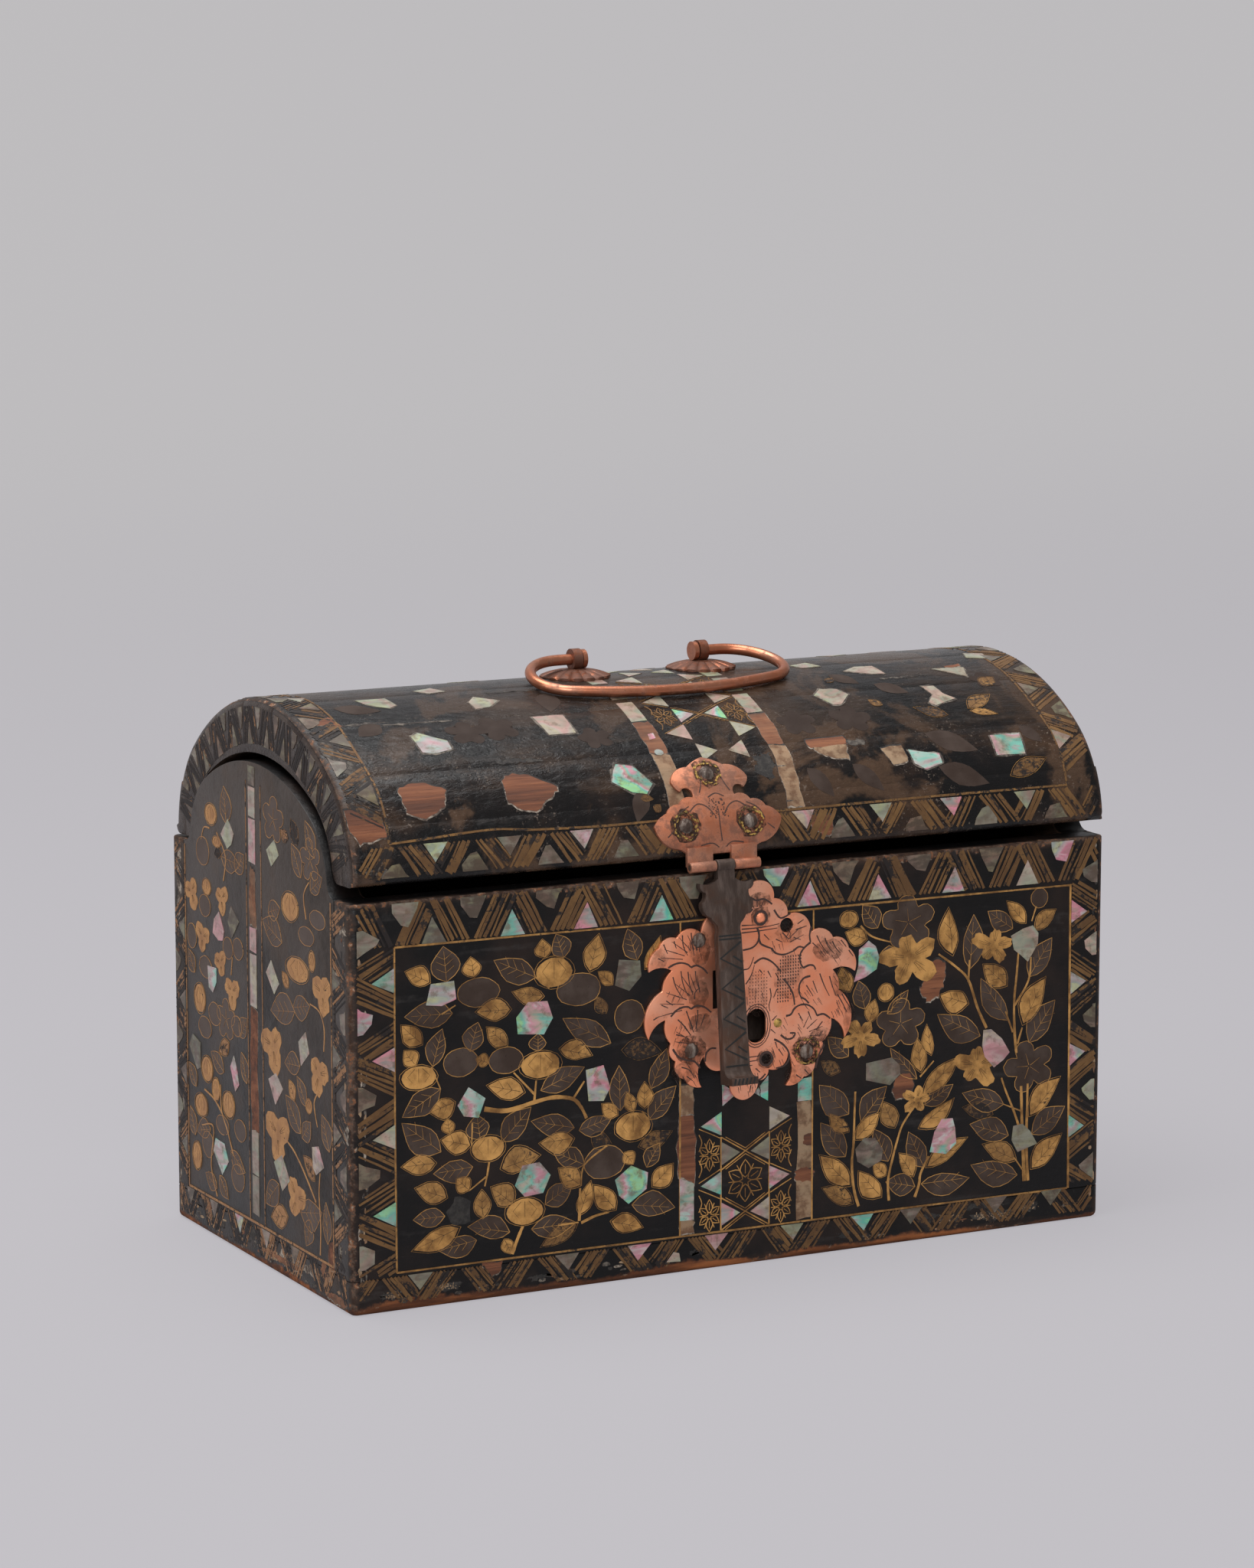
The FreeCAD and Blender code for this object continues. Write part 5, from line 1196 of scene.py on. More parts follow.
endPanel = {
    "shells": [
        ((-15.5, 114), (-12.5, 117.7), (-7.3, 114.3), (-10.5, 110.3), 0.4),
        ((15, 115), (19, 118.5), (24, 113.7), (19.5, 110.3), (16.5, 112), 0.4),
        ((12, 91.5), (17.5, 95), (19.8, 90.5), (17, 86.3), 0.1),
        ((22.5, 87), (26, 92), (29.5, 89.5), (30.5, 85.5), (26.5, 84), (23.5, 84.5), 0.5),
        ((-14.8, 79.5), (-9.5, 85), (-6.2, 81.2), (-11.5, 76.2), 0.42),
        ((28.3, 76), (34.5, 75.7), (33.8, 69.8), (31, 68.8), (28.5, 72), 0.9),
        ((-32, 70), (-27.3, 66.5), (-28.8, 60.3), (-34.2, 64.5), 0.42),
        ((-16.5, 51.5), (-12, 55), (-7, 52.5), (-11.5, 46.3), 0.45),
        ((16.8, 54), (19.3, 50.5), (16, 44.2), (13.5, 46.5), (14.5, 50), 0.55),
        ((40.5, 53), (46, 54.5), (48.5, 51), (43, 45), (40.5, 46), 0.2),
        ((-43, 36), (-39.5, 41), (-35.5, 40), (-36, 34.5), (-38, 33), 0.5),
        ((-20.5, 27.5), (-15.5, 33.5), (-10, 30.5), (-15.5, 23.7), 0.36),
        ((21.5, 23.5), (24.5, 28), (30.5, 28.3), (32, 24.5), (26, 19), 0.9)],
    "petals": 3,
    "goldFruit": [
        (-27, 85.5, 15, 6.8), (-22.6, 101.6, 11, 8), (34.6, 97.4, 6, 4.6), (-36.5, 89.5, 4, 5.5), (-33.5, 50.5, 4, 4),
        (31, 118, 8, 6), (27, 111, 6, 3), (40.5, 65.5, 8, 8.5), (36, 46.5, 8, 7.5), (21, 39.5, 8.5, 7.5),
        (29.8, 42, 5.5, 6.5), (40.5, 35.5, 9, 6.5), (44, 20.5, 6.5, 8)],
    "darkFruit": [
        (-33, 95.5, 10, 5), (37, 107, 9, 8), (13, 84, 7, 6), (20, 83, 7, 6), (15, 20.5, 9, 7.5), (37, 58, 9, 6),
        (36, 75, 9, 6), (36, 92, 8, 6), (45.6, 82, 6.5, 7), (13, 34, 8, 6), (30, 63, 8.6, 6.4), (25.4, 33, 9, 5.4),
        (36, 25.4, 8, 7.4), (14.6, 62.6, 7, 5.6), (-40.4, 101, 10, 5)],
    "goldFlowers": [
        (-43, 82.4, 6.8, 0.3), (-40, 60.4, 7.2, 0.8), (-10, 62, 7.6, 0.2), (-12.8, 38.5, 7.8, 0.5),
        (-24.6, 24, 7.8, 0.9), (24, 96, 4.6, 0.4), (45.3, 94.4, 5.2, 0.1), (38, 83, 4.9, 0.7), (25.5, 78, 5.2, 0.2),
        (17.5, 71.4, 5.4, 0.5)],
    "darkFlowers": [(-12, 123, 7, 0.4), (22, 63, 6.5, 0.3), (-36, 116, 6.5, 0.2)],
    "goldLeaves": [
        (-21, 79.6, -16.8, 83.4, 3), (-19, 17.5, -7.5, 15, 5.5), (-37, 31, -29.5, 36.5, 4), (20, 57, 27.5, 53, 4),
        (-28, 118.6, -23.6, 125.2, 4.4), (-22, 119.6, -16.6, 121, 3), (24, 108.4, 28.6, 107.4, 2.6),
        (-24.4, 50, -20.6, 55, 3.6)],
    "faded": [(-16.6, 121), (28.6, 107.4), (-23.6, 125.2)],
    "darkLeaves": [
        (-25, 74, -9, 71.4, 7), (-24, 75, -35, 77.4, 5.5), (-28, 42, -18.4, 50.4, 6), (-29, 41, -34.6, 46.4, 4.6),
        (-27.5, 20.6, -41.4, 23.6, 7), (-34, 20, -31, 12.4, 5), (-13, 25, -4, 18, 6), (-28, 60, -18, 59, 5),
        (-32, 50, -26, 57, 4), (20, 27, 10, 23, 4.5), (34, 30, 44, 27.6, 4.5), (-36, 108, -43.6, 112.6, 5),
        (-30, 110.4, -24, 118.6, 5), (14, 105, 8, 110.4, 5), (12, 60, 7.4, 66, 4.6), (30, 14.4, 38, 17, 4),
        (20, 117, 21.6, 127, 6.4), (24, 107.6, 11, 107, 5), (-17, 91, -4, 95, 6.4), (24, 48, 33, 52, 4.6),
        (-46.6, 41, -42, 50, 5.4), (44, 40, 49, 46, 4.2), (28, 18.4, 22, 13, 4), (-39, 117, -33, 126, 5),
        (-45, 16, -44, 27, 4.6), (45, 26, 48.6, 33.6, 4.6), (8, 48, 11.6, 56, 4.4), (-8, 97.6, -16, 100, 4.6),
        (44, 72, 48.4, 78, 4.4)],
    "stems": [
        ([(-40, 12), (-40.5, 20), (-39.6, 28), (-40.4, 34)], 0.8),
        ([(-37.6, 25.6), (-30, 32), (-24, 36), (-19, 38)], 0.9),
        ([(-43.6, 67), (-44, 73), (-41, 77), (-35, 78)], 0.7), ([(-40.6, 56), (-37, 52), (-39, 46)], 0.7),
        ([(-33, 100), (-31.6, 106), (-35, 110)], 0.7), ([(25.4, 36), (31, 39), (38, 40.4)], 0.9),
        ([(18, 26), (22, 32), (26, 37), (26.6, 44)], 0.8), ([(22.6, 101), (21, 108), (27, 113.6)], 0.7),
        ([(30, 12), (34, 20), (32, 31), (40, 30)], 0.7), ([(18, 76), (17, 81)], 0.6),
        ([(32, 114), (36, 113.6), (38, 110)], 0.6)],
}
endDress = {
    "strip": [  # low, high and tint of the shells in the upright strip
        (109, 121, 0.5), (121.4, 129.6, 0.42), (130, 135.2, 0.15), (85, 91.6, 0.5), (70, 84.4, 0.45), (24, 36, 0.3),
        (13, 23.8, 0.25)],
    "stripLost": [((0.4, 36.4), (4.6, 36.4), (5.6, 52), (4.8, 62), (5, 69.6), (0.4, 69.6), 0),
                  ((0.2, 92), (4.8, 92.4), (4.9, 100), (4.2, 108), (0.6, 107), 0.25)],
    "lines": [
        *[([(u, 11), (u, 50), (u, 90), (u, 131)], 0.45, 0.25) for u in (-3.4, 6.6)],
        *[([(u, 10.8), (u, 60), (u, 107)], 0.6, 0.2) for u in (-48.7, 50)],
        ([(-48.7, 10.8), (0, 10.9), (50, 10.8)], 0.7, 0.15)],
    "pitch": 20.4,
    "sides": [(-49.4, -57.8, 26), (50.6, 57.8, 22)],  # line, edge and phase of the upright borders
    "inner": [(0, 0.15), (1, 0.1), (2, 0.2), (3, 0.15)], "outer": [(0.5, 0.1), (1.5, 0.05), (2.5, 0.1)],
    "lowShells": [(-4, 0.3), (14.5, 0.6), (32.4, 0.2), (49, 0.15), (-23.6, 0.05)],
    "chips": [  # broken ground along the foot and the corners: place, size and shade
        (-32, 6, 13, 2.6, 0), (-20, 6.4, 15, 2.8, 0.05), (-44, 7.4, 6, 3.4, 0.35), (5.6, 7.2, 9, 3, 0.85),
        (27, 5.4, 5, 2.4, 0.8), (46, 6.8, 9, 2.6, 0.85), (-53, 15.4, 1.6, 5, 0), (-52.4, 65, 3, 5, 0.2),
        (54.4, 101.6, 4, 8, 0.1), (54.8, 93, 3.4, 9, 0.05), (54.6, 84, 3, 8, 0.25), (55, 24, 3, 8, 0.8),
        (53.8, 34, 2.4, 5, 0.5), (-56, 101, 4, 3, 0.1), (-51.6, 88, 2, 4, 0.15), (-57.4, 48, 2, 6, 0.3)],
    "cornerLost": [(-49.4, 17.6), (-46, 17), (-45, 12.6), (-46.4, 9.6), (-49.4, 10)],
    "footLost": [(-42.6, 8, 4.6, 5), (-15, 4.6, 30, 1.8), (-50, 2.6, 12, 2.6), (36, 7.6, 4, 3)],
    "flakes": [(90, (-56, 56), (2.4, 7.2)), (40, (-57.4, -55.4), (4, 106)), (40, (55.4, 57.4), (4, 106))],
}


def dressEnd(face, sign):
    dress, pitch = endDress, endDress["pitch"]
    dressPanel(face, endPanel, sign)
    for low, high, kind in dress["strip"]:
        shell(face, flipped([(0.4, low), (4.7, low + 0.3), (4.7, high), (0.3, high)], sign), kind)
    for *outline, tone in dress["stripLost"]:
        lost(face, flipped(outline, sign), tone, 0.5)
    for points, width, faded in dress["lines"]:
        goldLine(face, flipped(points, sign), width, faded)
    for line, edge, phase in dress["sides"]:
        inner, outer = [[(phase + pitch * k, kind) for k, kind in dress[key]] for key in ("inner", "outer")]
        border(face, False, 10.5, 107, sign * line, sign * edge, pitch, phase, inner, outer, 5, 0.22)
    border(face, True, -57.6, 57.6, 10.4, 2.1, 18.5, -sign * 4, flipped(dress["lowShells"], sign), [], 7, 0.16)
    for u, v, width, height, shade in dress["chips"]:
        chip(face, flipped(ovalOutline(u, v, width, height, 0, 0.3, 14), sign), shade)
    lost(face, flipped(dress["cornerLost"], sign))
    for u, v, width, height in dress["footLost"]:
        lost(face, flipped(ovalOutline(u, v, width, height, 0, 0.25, 12), sign), 0.15)
    for strip in dress["flakes"]:
        flake(face, *strip)
    print("end dressed")


dressEnd(leftEnd, 1)
dressEnd(rightEnd, -1)


# lid: worn vault with shell pieces, ghosts of leaves and bare losses

lidPanel = {
    "shells": [
        ((-89.5, 69.3), (-81, 69.3), (-80.3, 63), (-83, 61.3), (-86, 63), (-88.5, 66), 0.36),
        ((-57, 65), (-51.5, 61), (-55.5, 57.5), (-60, 56.8), (-60, 61.5), 0.4),
        ((-46.5, 50), (-37.6, 50), (-37.6, 41.2), (-45.5, 41.2), 0.44),
        ((-84, 45), (-81.5, 46.5), (-78, 44), (-74.8, 42), (-75, 38.5), (-80, 37.2), (-83.5, 38), 0.62),
        ((-31.5, 28), (-27, 27), (-23, 21), (-25.5, 18.2), (-29.5, 19), (-34.5, 22.5), (-33, 26), 1),
        ((56.5, 25), (60, 24), (65.5, 23), (65.5, 20), (60, 18.5), (57, 20.5), 1),
        ((83.5, 27.5), (92.8, 27.5), (92.2, 20.7), (83.2, 21), 0.95),
        ((39, 50), (42.5, 53.3), (47.5, 52.5), (49.5, 49.3), (45, 44.8), (42.5, 44.8), 0.4),
        ((73.5, 50.5), (77, 50.5), (78, 46), (80.5, 43.5), (73, 41), (71.5, 42.5), (74.5, 46), 0.4),
        ((56, 64), (61, 67), (66.5, 66.5), (67, 60), (63, 60.5), 0.4), ((82.5, 61), (92.5, 60.5), (90.3, 54.3), 0.4),
        ((-104, 72), (-101, 76), (-106, 78), 0.35), ((98, 68), (104, 66), (105, 71), (100, 73), 0.4),
        ((-70, 75), (-64, 77.4), (-62, 72), (-67, 71), 0.38), ((44, 73), (50, 75), (52, 70), (46, 69.4), 0.4)],
    "lost": [
        ((-95.5, 25.5), (-91, 27.5), (-87, 27), (-82, 24.5), (-83.5, 19.5), (-90, 16.7), (-94.5, 18.5), (-95, 22)),
        ((-65.8, 26), (-62, 28), (-57.5, 26.8), (-50.3, 22.3), (-53.5, 19.5), (-58, 16), (-62.5, 17), (-65.8, 19)),
        ((-111.6, 20.5), (-106.5, 20.8), (-102, 17.5), (-101.5, 13), (-105, 11.8), (-109.5, 11.3), (-111.4, 15)),
        ((27, 31.3), (39, 31.5), (39, 28.5), (27.5, 28)), ((87, 62), (92.6, 63.6), (92, 61.4), (88, 61)),
        ((-107.5, 54.5), (-102, 59), (-100.5, 52.5)), ((22, 8.6), (28, 8), (28.6, 3.4), (25, 2.8), (21.6, 5.6))],
    "ghosts": [
        (64, 30, 78, 23, 7), (64, 19, 78.5, 13, 6.5), (38, 22, 45.5, 13.5, 5), (24, 22, 30, 13, 5),
        (-26, 20, -30, 10.6, 5), (60, 54, 68, 48, 6), (-98, 64, -86, 60, 7), (-90, 52, -98, 47, 6),
        (-36, 64, -40, 52, 7), (50, 62, 56, 55, 6), (94, 30, 99, 24, 4.5)],
    "ghostFlowers": [
        (-68, 45, 6, 0.2), (-59, 46, 6.4, 0.6), (28, 38.4, 6, 0.3), (44.6, 38.4, 6.4, 0.1), (-33, 38.6, 5, 0.5),
        (95, 52, 5, 0.3)],
    "goldLeaves": [
        (82, 38.6, 92, 44.2, 5, 0.18), (82, 37.6, 90, 35.4, 3, 0.28), (74.6, 36.6, 65.6, 41, 4.6, 0.28),
        (85.5, 14.6, 98.5, 19, 5.2, 0.2), (57, 43, 54, 46, 3, 0.3), (-24, 13, -22.4, 15, 2.4, 0.3),
        (-27.6, 17, -24, 16.6, 2, 0.3), (92, 49, 98, 53, 5, 0.34), (47, 57, 50, 60, 2.6, 0.38)],
}
lidDress = {
    "edges": (-110.6, 112.2),
    "filled": [((28.5, 28.2), (38.3, 28.4), (37.5, 23.5), (33, 24.5), (29, 26.5)),
               ((48.5, 26), (55, 26.8), (55.5, 21.3), (50.5, 21))],
    "topLine": [(-101.5, 10.7), (-90, 11.3), (-72, 12.2), (-60, 11.2), (-40, 10.6), (-20, 10.7), (20, 10.6),
                (60, 10.8), (102.8, 10.7)],
    "sideLines": (-101.4, 102.8),
    "inner": [(-88.5, 0.62), (-67.5, 0.2), (-46.5, 0.72), (19.5, 0.5), (43.5, 0.35), (65.5, 0.6), (89, 0.3)],
    "outer": [(-100.5, 0), (-78, 0.02), (-56.5, 0.15), (-34, 0.1), (31, 0.15), (54, 0.05), (76, 0.2), (98, 0.05)],
    "stars": [(37.9, (0.42, 0.42)), (45.4, (0.9, 0.95)), (53.4, (0.4, 0.42)), (61.4, (0.4, 0.4)),
              (69.4, (0.42, 0.42)), (77.2, (0.4, 0.4))],
    "lowStars": [(30, (0.42, 0.42))],
    "crossings": [45.4, 61.4],
    "strips": (-19.8, 15.4), "stripWide": 4.8,
    "stripShells": [(44, 54, 0.36), (56, 66, 0.3), (68, 80.4, 0.34)],
    "chips": [(-79, 51.4, 22, 0.7, 0.6), (-59, 32, 14, 1.2, 0.9), (-42, 67.6, 16, 1, 0.85), (-95, 53, 12, 0.8, 0.7),
              (12, 24, 6, 8, 0.93), (42, 29, 5, 2, 0.75), (70, 57, 13, 0.7, 0.7), (-106, 4, 6, 2.4, 0.7),
              (-104, 30, 6, 14, 0.8), (-108, 40, 5, 12, 0.75)],
}


def dressLid(face, leftEdge, rightEdge):
    dress = lidDress
    for u, v, tipU, tipV, width in lidPanel["ghosts"]:
        lay(face, "dark", leafOutline((u, v), (tipU, tipV), width), 0.25)
    for u, v, radius, turn in lidPanel["ghostFlowers"]:
        lay(face, "dark", flowerOutline(u, v, radius, turn), 0.55)
    for u, v, tipU, tipV, width, faded in lidPanel["goldLeaves"]:
        goldLeaf(face, (u, v), (tipU, tipV), width, faded)
    for *outline, kind in lidPanel["shells"]:
        chip(face, spread(outline, middleOf(outline), 0.12, 0.12), 0.55, 0.25)
        shell(face, outline, kind)
    for outline in lidPanel["lost"]:
        lost(face, outline)
    for outline in dress["filled"]:
        lost(face, outline, 0.85)
    goldLine(face, flowing(dress["topLine"]), 0.6, 0.34)
    for u in dress["sideLines"]:
        goldLine(face, flowing([(u, 10.8), (u + 0.5, 24), (u - 0.3, 40), (u + 0.2, 60), (u, 81)]), 0.6, 0.38)
    border(face, True, leftEdge, rightEdge, 10.2, 1.7, 21.7, -88.8, dress["inner"], dress["outer"])
    for line, edge, kinds, faded in ((-101.8, leftEdge, (0.02, 0.1, 0.05), 0.3),
                                     (103.2, rightEdge, (0.3, 0.1, 0.2), 0.1)):
        border(face, False, 12, 80, line, edge, 21.0, 24.6, list(zip((24.6, 45.6, 66.6), kinds)),
               [(35.1, kinds[1]), (56.1, 0.1), (77, 0.05)], 5, faded)
    bandStars(face, dress["stars"], *bandForm["lid"]["stars"])
    bandStars(face, dress["lowStars"], *bandForm["lid"]["stars"], 1)
    lattice(face, dress["crossings"], *bandForm["lid"]["lattice"], 0.3)
    for left in dress["strips"]:
        right = left + dress["stripWide"]
        for low, high, kind in dress["stripShells"]:
            shell(face, [(left, low), (right, low + 0.3), (right, high), (left, high - 0.2)], kind)
        lost(face, [(left, 31), (right, 30.6), (right + 0.5, 37), (right, 43.6), (left, 43.6)], 0.1)
        lost(face, [(left, 11.4), (right, 11.2), (right, 21), (right + 0.3, 30), (left, 30.4)], 0.72)
    shell(face, [(-18, 36), (-16, 36.4), (-15.8, 38.6), (-17.6, 38.2)], 0.62)
    shell(face, ovalOutline(-17.4, 31, 2.6, 2.2), 0.6)
    for u, v, width, height, shade in dress["chips"]:
        chip(face, ovalOutline(u, v, width, height, 0, 0.4, 16), shade, 0.5)
    print("lid side dressed")


leftEdge, rightEdge = lidDress["edges"]
dressLid(vault, leftEdge, rightEdge)
dressLid(backOfVault, -rightEdge, -leftEdge)


ringDress = {"teeth": 12, "start": 4, "kinds": (0.0, 0.08, 0.02, 0.12), "chips": 9}


def dressRing(face):
    count, start, kinds = ringDress["teeth"], ringDress["start"], ringDress["kinds"]
    pitch = (vaultRun - 2 * start) / count
    border(face, True, 3, vaultRun - 3, 12.4, 2.0, pitch, start + pitch / 2,
           [(start + pitch * (k + 0.5), kinds[k % 4]) for k in range(count)],
           [(start + pitch * k, kinds[(k + 1) % 4]) for k in range(1, count)], 4, 0.3)
    for k in range(ringDress["chips"]):
        u, v = dice.uniform(6, vaultRun - 6), dice.uniform(2.8, 4.0)
        outline = ovalOutline(u, v, dice.uniform(2, 6), 1.2, 0, 0.3, 14)
        shade = dice.uniform(0.4, 0.8)
        chip(face, outline, shade, 0.2)


dressRing(leftRing)
dressRing(rightRing)
print("lid ends dressed")


# back of the box: the same branches and plants, with a plain band between them

backKinds = (0.2, 0.75, 0.6, 0.4, 0.1, 0.55, 0.62, 0.3, 0.8, 0.15)
backStrips = (-18.4, 17.4)
backDress = {
    "lines": [*[([(-101.2, z), (0, z), (103.3, z)], 0.75, 0) for z in (10.2, 95.6)],
              *[([(u, 10.2), (u, 50), (u, 95.6)], 0.6, 0)
                for u in (-101.2, 103.3, bandForm["left"], bandForm["right"])]],
    "borders": [
        (True, -111.8, 111.8, 96.2, 107.8, 22.2, -90.3, [(-90.3 + 22.2 * k, backKinds[k]) for k in range(9)],
         [(-101.4 + 22.2 * k, backKinds[k] * 0.4) for k in range(10)]),
        (True, -111.8, 111.8, 9.6, 2.1, 22.3, -94.6, [(-94.6 + 22.3 * k, backKinds[9 - k]) for k in range(9)], [],
         5, 0.2),
        *[(False, 10, 96, line, edge, 20.4, 26.2, [(26.2 + 20.4 * k, backKinds[k + 1]) for k in range(4)],
           [(16 + 20.4 * k, backKinds[k] * 0.4) for k in range(5)])
          for line, edge in ((-101.2, -112.0), (103.3, 112.0))]],
    "crossings": [81, 64.5, 48, 31.4, 14.8],
    "stars": [(89, (0.5, 0.4)), (81, (0.6, 0.6)), (72.6, (0.4, 0.8)), (64.5, (0.3, 0.5)), (56.2, (0.8, 0.4)),
              (48, (0.62, 0.4)), (39.6, (0.45, 0.9)), (31.4, (0.25, 0.3)), (23.3, (0.8, 0.62)), (14.8, (0.6, 0.45))],
    "bandShells": [((left, low), (left + 4.3, low), (left + 4.3, high), (left, high), kind) for left in backStrips
                   for low, high, kind in ((11, 30, 0.4), (31, 52, 0.5), (72, 94, 0.45))],
}


def dressBack():
    dressBox(back, backDress)
    for left in backStrips:
        lost(back, [(left, 53), (left + 4.3, 53), (left + 4.5, 62), (left + 4.3, 71), (left, 71)])
    print("back dressed")


dressBack()


# chased lines of the lock plate, hasp plate and hasp

plateLeaves = [  # bold outlines where one leaf lies over the next
    [(-22.4, 83.6), (-20.5, 84.4), (-18.5, 84.6), (-16.6, 84), (-15.6, 83.1)],
    [(-15.6, 83.1), (-14, 83.5), (-12, 82.5), (-10.6, 81)],
    [(-21.6, 70.4), (-20, 71.9), (-18, 72.6), (-16.4, 72.5), (-15.6, 71.9)],
    [(-15.6, 71.9), (-13.8, 72.6), (-11.5, 72), (-9.5, 70.4)],
    [(-21, 61.6), (-19.4, 59.4), (-17, 58.2), (-14.5, 57.6), (-12.8, 55.6)],
    [(-11.3, 57.2), (-11, 59.4), (-9.6, 60.6), (-8, 60.5)], [(4.3, 92), (4.9, 90), (4.4, 88), (2.7, 86.7), (0, 86.3)],
    [(4.9, 89), (5.4, 87.6), (7, 86.7), (8.7, 86)], [(8.7, 86), (10, 84.6), (12.5, 84), (15.3, 84.7)],
    [(15.3, 84.7), (17, 85.7), (18.6, 85.3)], [(20.8, 90.8), (20.3, 88.6), (20.6, 86.6)],
    [(20.6, 86.6), (18.6, 85.2), (17.4, 83.4), (17.5, 81.4), (18.4, 79.8)],
    [(18.4, 79.8), (20.2, 80.4), (21.6, 80.1), (22.2, 79)],
    [(20.6, 77.4), (18.6, 77), (17.3, 75.4), (17.2, 73.4), (17.8, 71.8)], [(17.8, 71.8), (19, 71.2), (20.2, 70)],
    [(13.2, 67.2), (14.7, 67.5), (15.8, 69), (17.6, 69.8), (19.8, 69.6), (21.8, 68.2), (22.7, 66.4)],
    [(22.7, 66.4), (24.8, 66.6), (26.8, 65.2)], [(12.4, 77.4), (14, 75.4), (15.4, 72.6), (15.8, 70)],
    [(9.6, 61.2), (12, 59.8), (13.9, 57.6), (14.2, 55.4), (12.8, 53.7), (10.2, 53.2)],
    [(1.5, 52.4), (3.4, 50.9), (5.4, 50.7), (7, 52)], [(3.4, 82.4), (6, 83.6), (9, 82.2), (11.6, 79.4)],
    [(25, 58.2), (23.4, 55.4), (22.4, 52)], [(11.6, 62.2), (13.4, 60.9), (15.2, 61), (16, 62.2), (14.4, 62.4)],
    [(2.2, 100.4), (4, 99.4), (6.4, 99.6), (8.8, 98)], [(-0.6, 98), (1.6, 96.4), (3, 97.2)],
    [(9.4, 96.4), (11.4, 94), (14.4, 95)],
]
plateVeins = [
    [(-18.2, 92), (-17.9, 89), (-16.6, 86.4)], [(-15.6, 92.4), (-15.2, 89), (-14.6, 86.2)],
    [(-20.7, 90.6), (-20, 88.6)], [(-23.8, 90), (-22.6, 87.4)], [(-13.6, 91), (-13, 87)],
    [(-25.4, 86.4), (-23.6, 85.4)], [(-21, 81), (-20, 78), (-18, 75)], [(-18.6, 82.4), (-18, 79), (-16.4, 75.4)],
    [(-16.5, 82), (-16, 78.5), (-15, 75.6)], [(-14.3, 82), (-14, 79.5), (-13, 76.6)],
    [(-14.5, 74.4), (-14.3, 76.4), (-12.9, 77.3)], [(-23, 74.8), (-21, 73.4)], [(-24.4, 73.8), (-22.4, 72.8)],
    [(-26.8, 70), (-25, 70.8)], [(-19.5, 69.4), (-17.5, 67.4), (-16, 65.4)], [(-17, 71.5), (-16, 69), (-15, 66.6)],
    [(-13.6, 71.5), (-13.6, 69), (-14.2, 66.4)], [(-20, 65.4), (-17.6, 64.6)], [(-11.4, 70), (-12.6, 67)],
    [(-18.4, 56.4), (-16, 55.4), (-14.4, 53)], [(-16.8, 53.8), (-15, 52.4)], [(22.5, 88.3), (24, 85.5), (26, 83)],
    [(25, 87.4), (26, 85), (28, 82.8)], [(27.3, 86.3), (28.3, 84.5), (29.8, 82.8)], [(21.2, 86.4), (23, 84.8)],
    [(30, 86.4), (31.6, 84.4)], [(32.4, 83.4), (33.8, 81.6)], [(23.5, 77.8), (24.8, 74.6), (26.5, 71.4)],
    [(26.5, 76.8), (27.4, 74), (28.6, 71.2)], [(21.4, 76), (22.8, 72.6)], [(19.4, 75), (21.5, 71.8)],
    [(30.4, 71.6), (31.6, 69.6), (33, 67.6)], [(29, 71.6), (30.6, 69), (32, 66.4)], [(17, 67.6), (18.4, 65.4)],
    [(20, 67.8), (21, 65.4)], [(24.4, 64.6), (22.4, 62.4)], [(19, 52), (20.4, 50.4)], [(16.4, 50.8), (18, 49.6)],
    [(0.2, 81), (2, 81.4), (3.3, 84.2)], [(0.9, 77), (2.6, 79.4), (3.5, 82)],
    [(8.3, 75.2), (8.6, 73), (8, 70.6), (8.3, 69)], [(10, 79.2), (11.2, 76.8)], [(7.6, 80), (8.6, 78.2)],
    [(5, 80.6), (6, 79.4)], [(10.4, 74.8), (9.4, 72.6)], [(9, 66.4), (10.4, 67.6)], [(8.6, 64), (10, 62.8)],
    [(-0.4, 93), (4, 92.8)], [(-0.4, 92), (6, 92), (11, 92.5)], [(-0.4, 91), (5, 91.1), (10.4, 91.4)],
    [(0.8, 57), (5, 57.1)], [(0.8, 55.8), (4.8, 56)], [(0.8, 54.6), (3, 54.8)], [(11, 58.4), (12.4, 56.4)],
    [(10, 60.4), (10.6, 58.6)], [(4, 53.8), (5.4, 52.6)], [(2.6, 49.4), (2.2, 47.4)], [(16.6, 92), (18.4, 93)],
    [(16, 90.4), (19.4, 91.2)], [(10, 88.4), (12, 87.4)], [(12, 90), (14, 88)], [(15.4, 88.4), (17.6, 87.6)],
    [(6.4, 90), (8, 88.4)],
]
plateGrime = [  # place, size and how thin it is
    (-15.6, 60.8, 9, 8, 0), (-13, 88, 6, 10, 0.35), (-13.4, 76, 6, 8, 0.3), (-13, 68, 7, 5, 0.25),
    (26, 84, 9, 6, 0.3), (24, 61, 7, 4, 0.2), (30, 75, 6, 8, 0.45), (19.8, 56.8, 6, 6, 0.15), (5.4, 94.8, 6, 6, 0.05),
    (5, 99.6, 7, 4, 0.1), (-25, 86, 5, 6, 0.5), (-17.6, 55, 7, 6, 0.4), (7.2, 56, 5.4, 5.4, 0.1),
    (14, 78, 9, 13, 0.5), (4, 74, 7, 12, 0.6), (17, 51, 8, 5, 0.45), (14, 90, 8, 6, 0.5), (33, 64, 4, 9, 0.5),
]
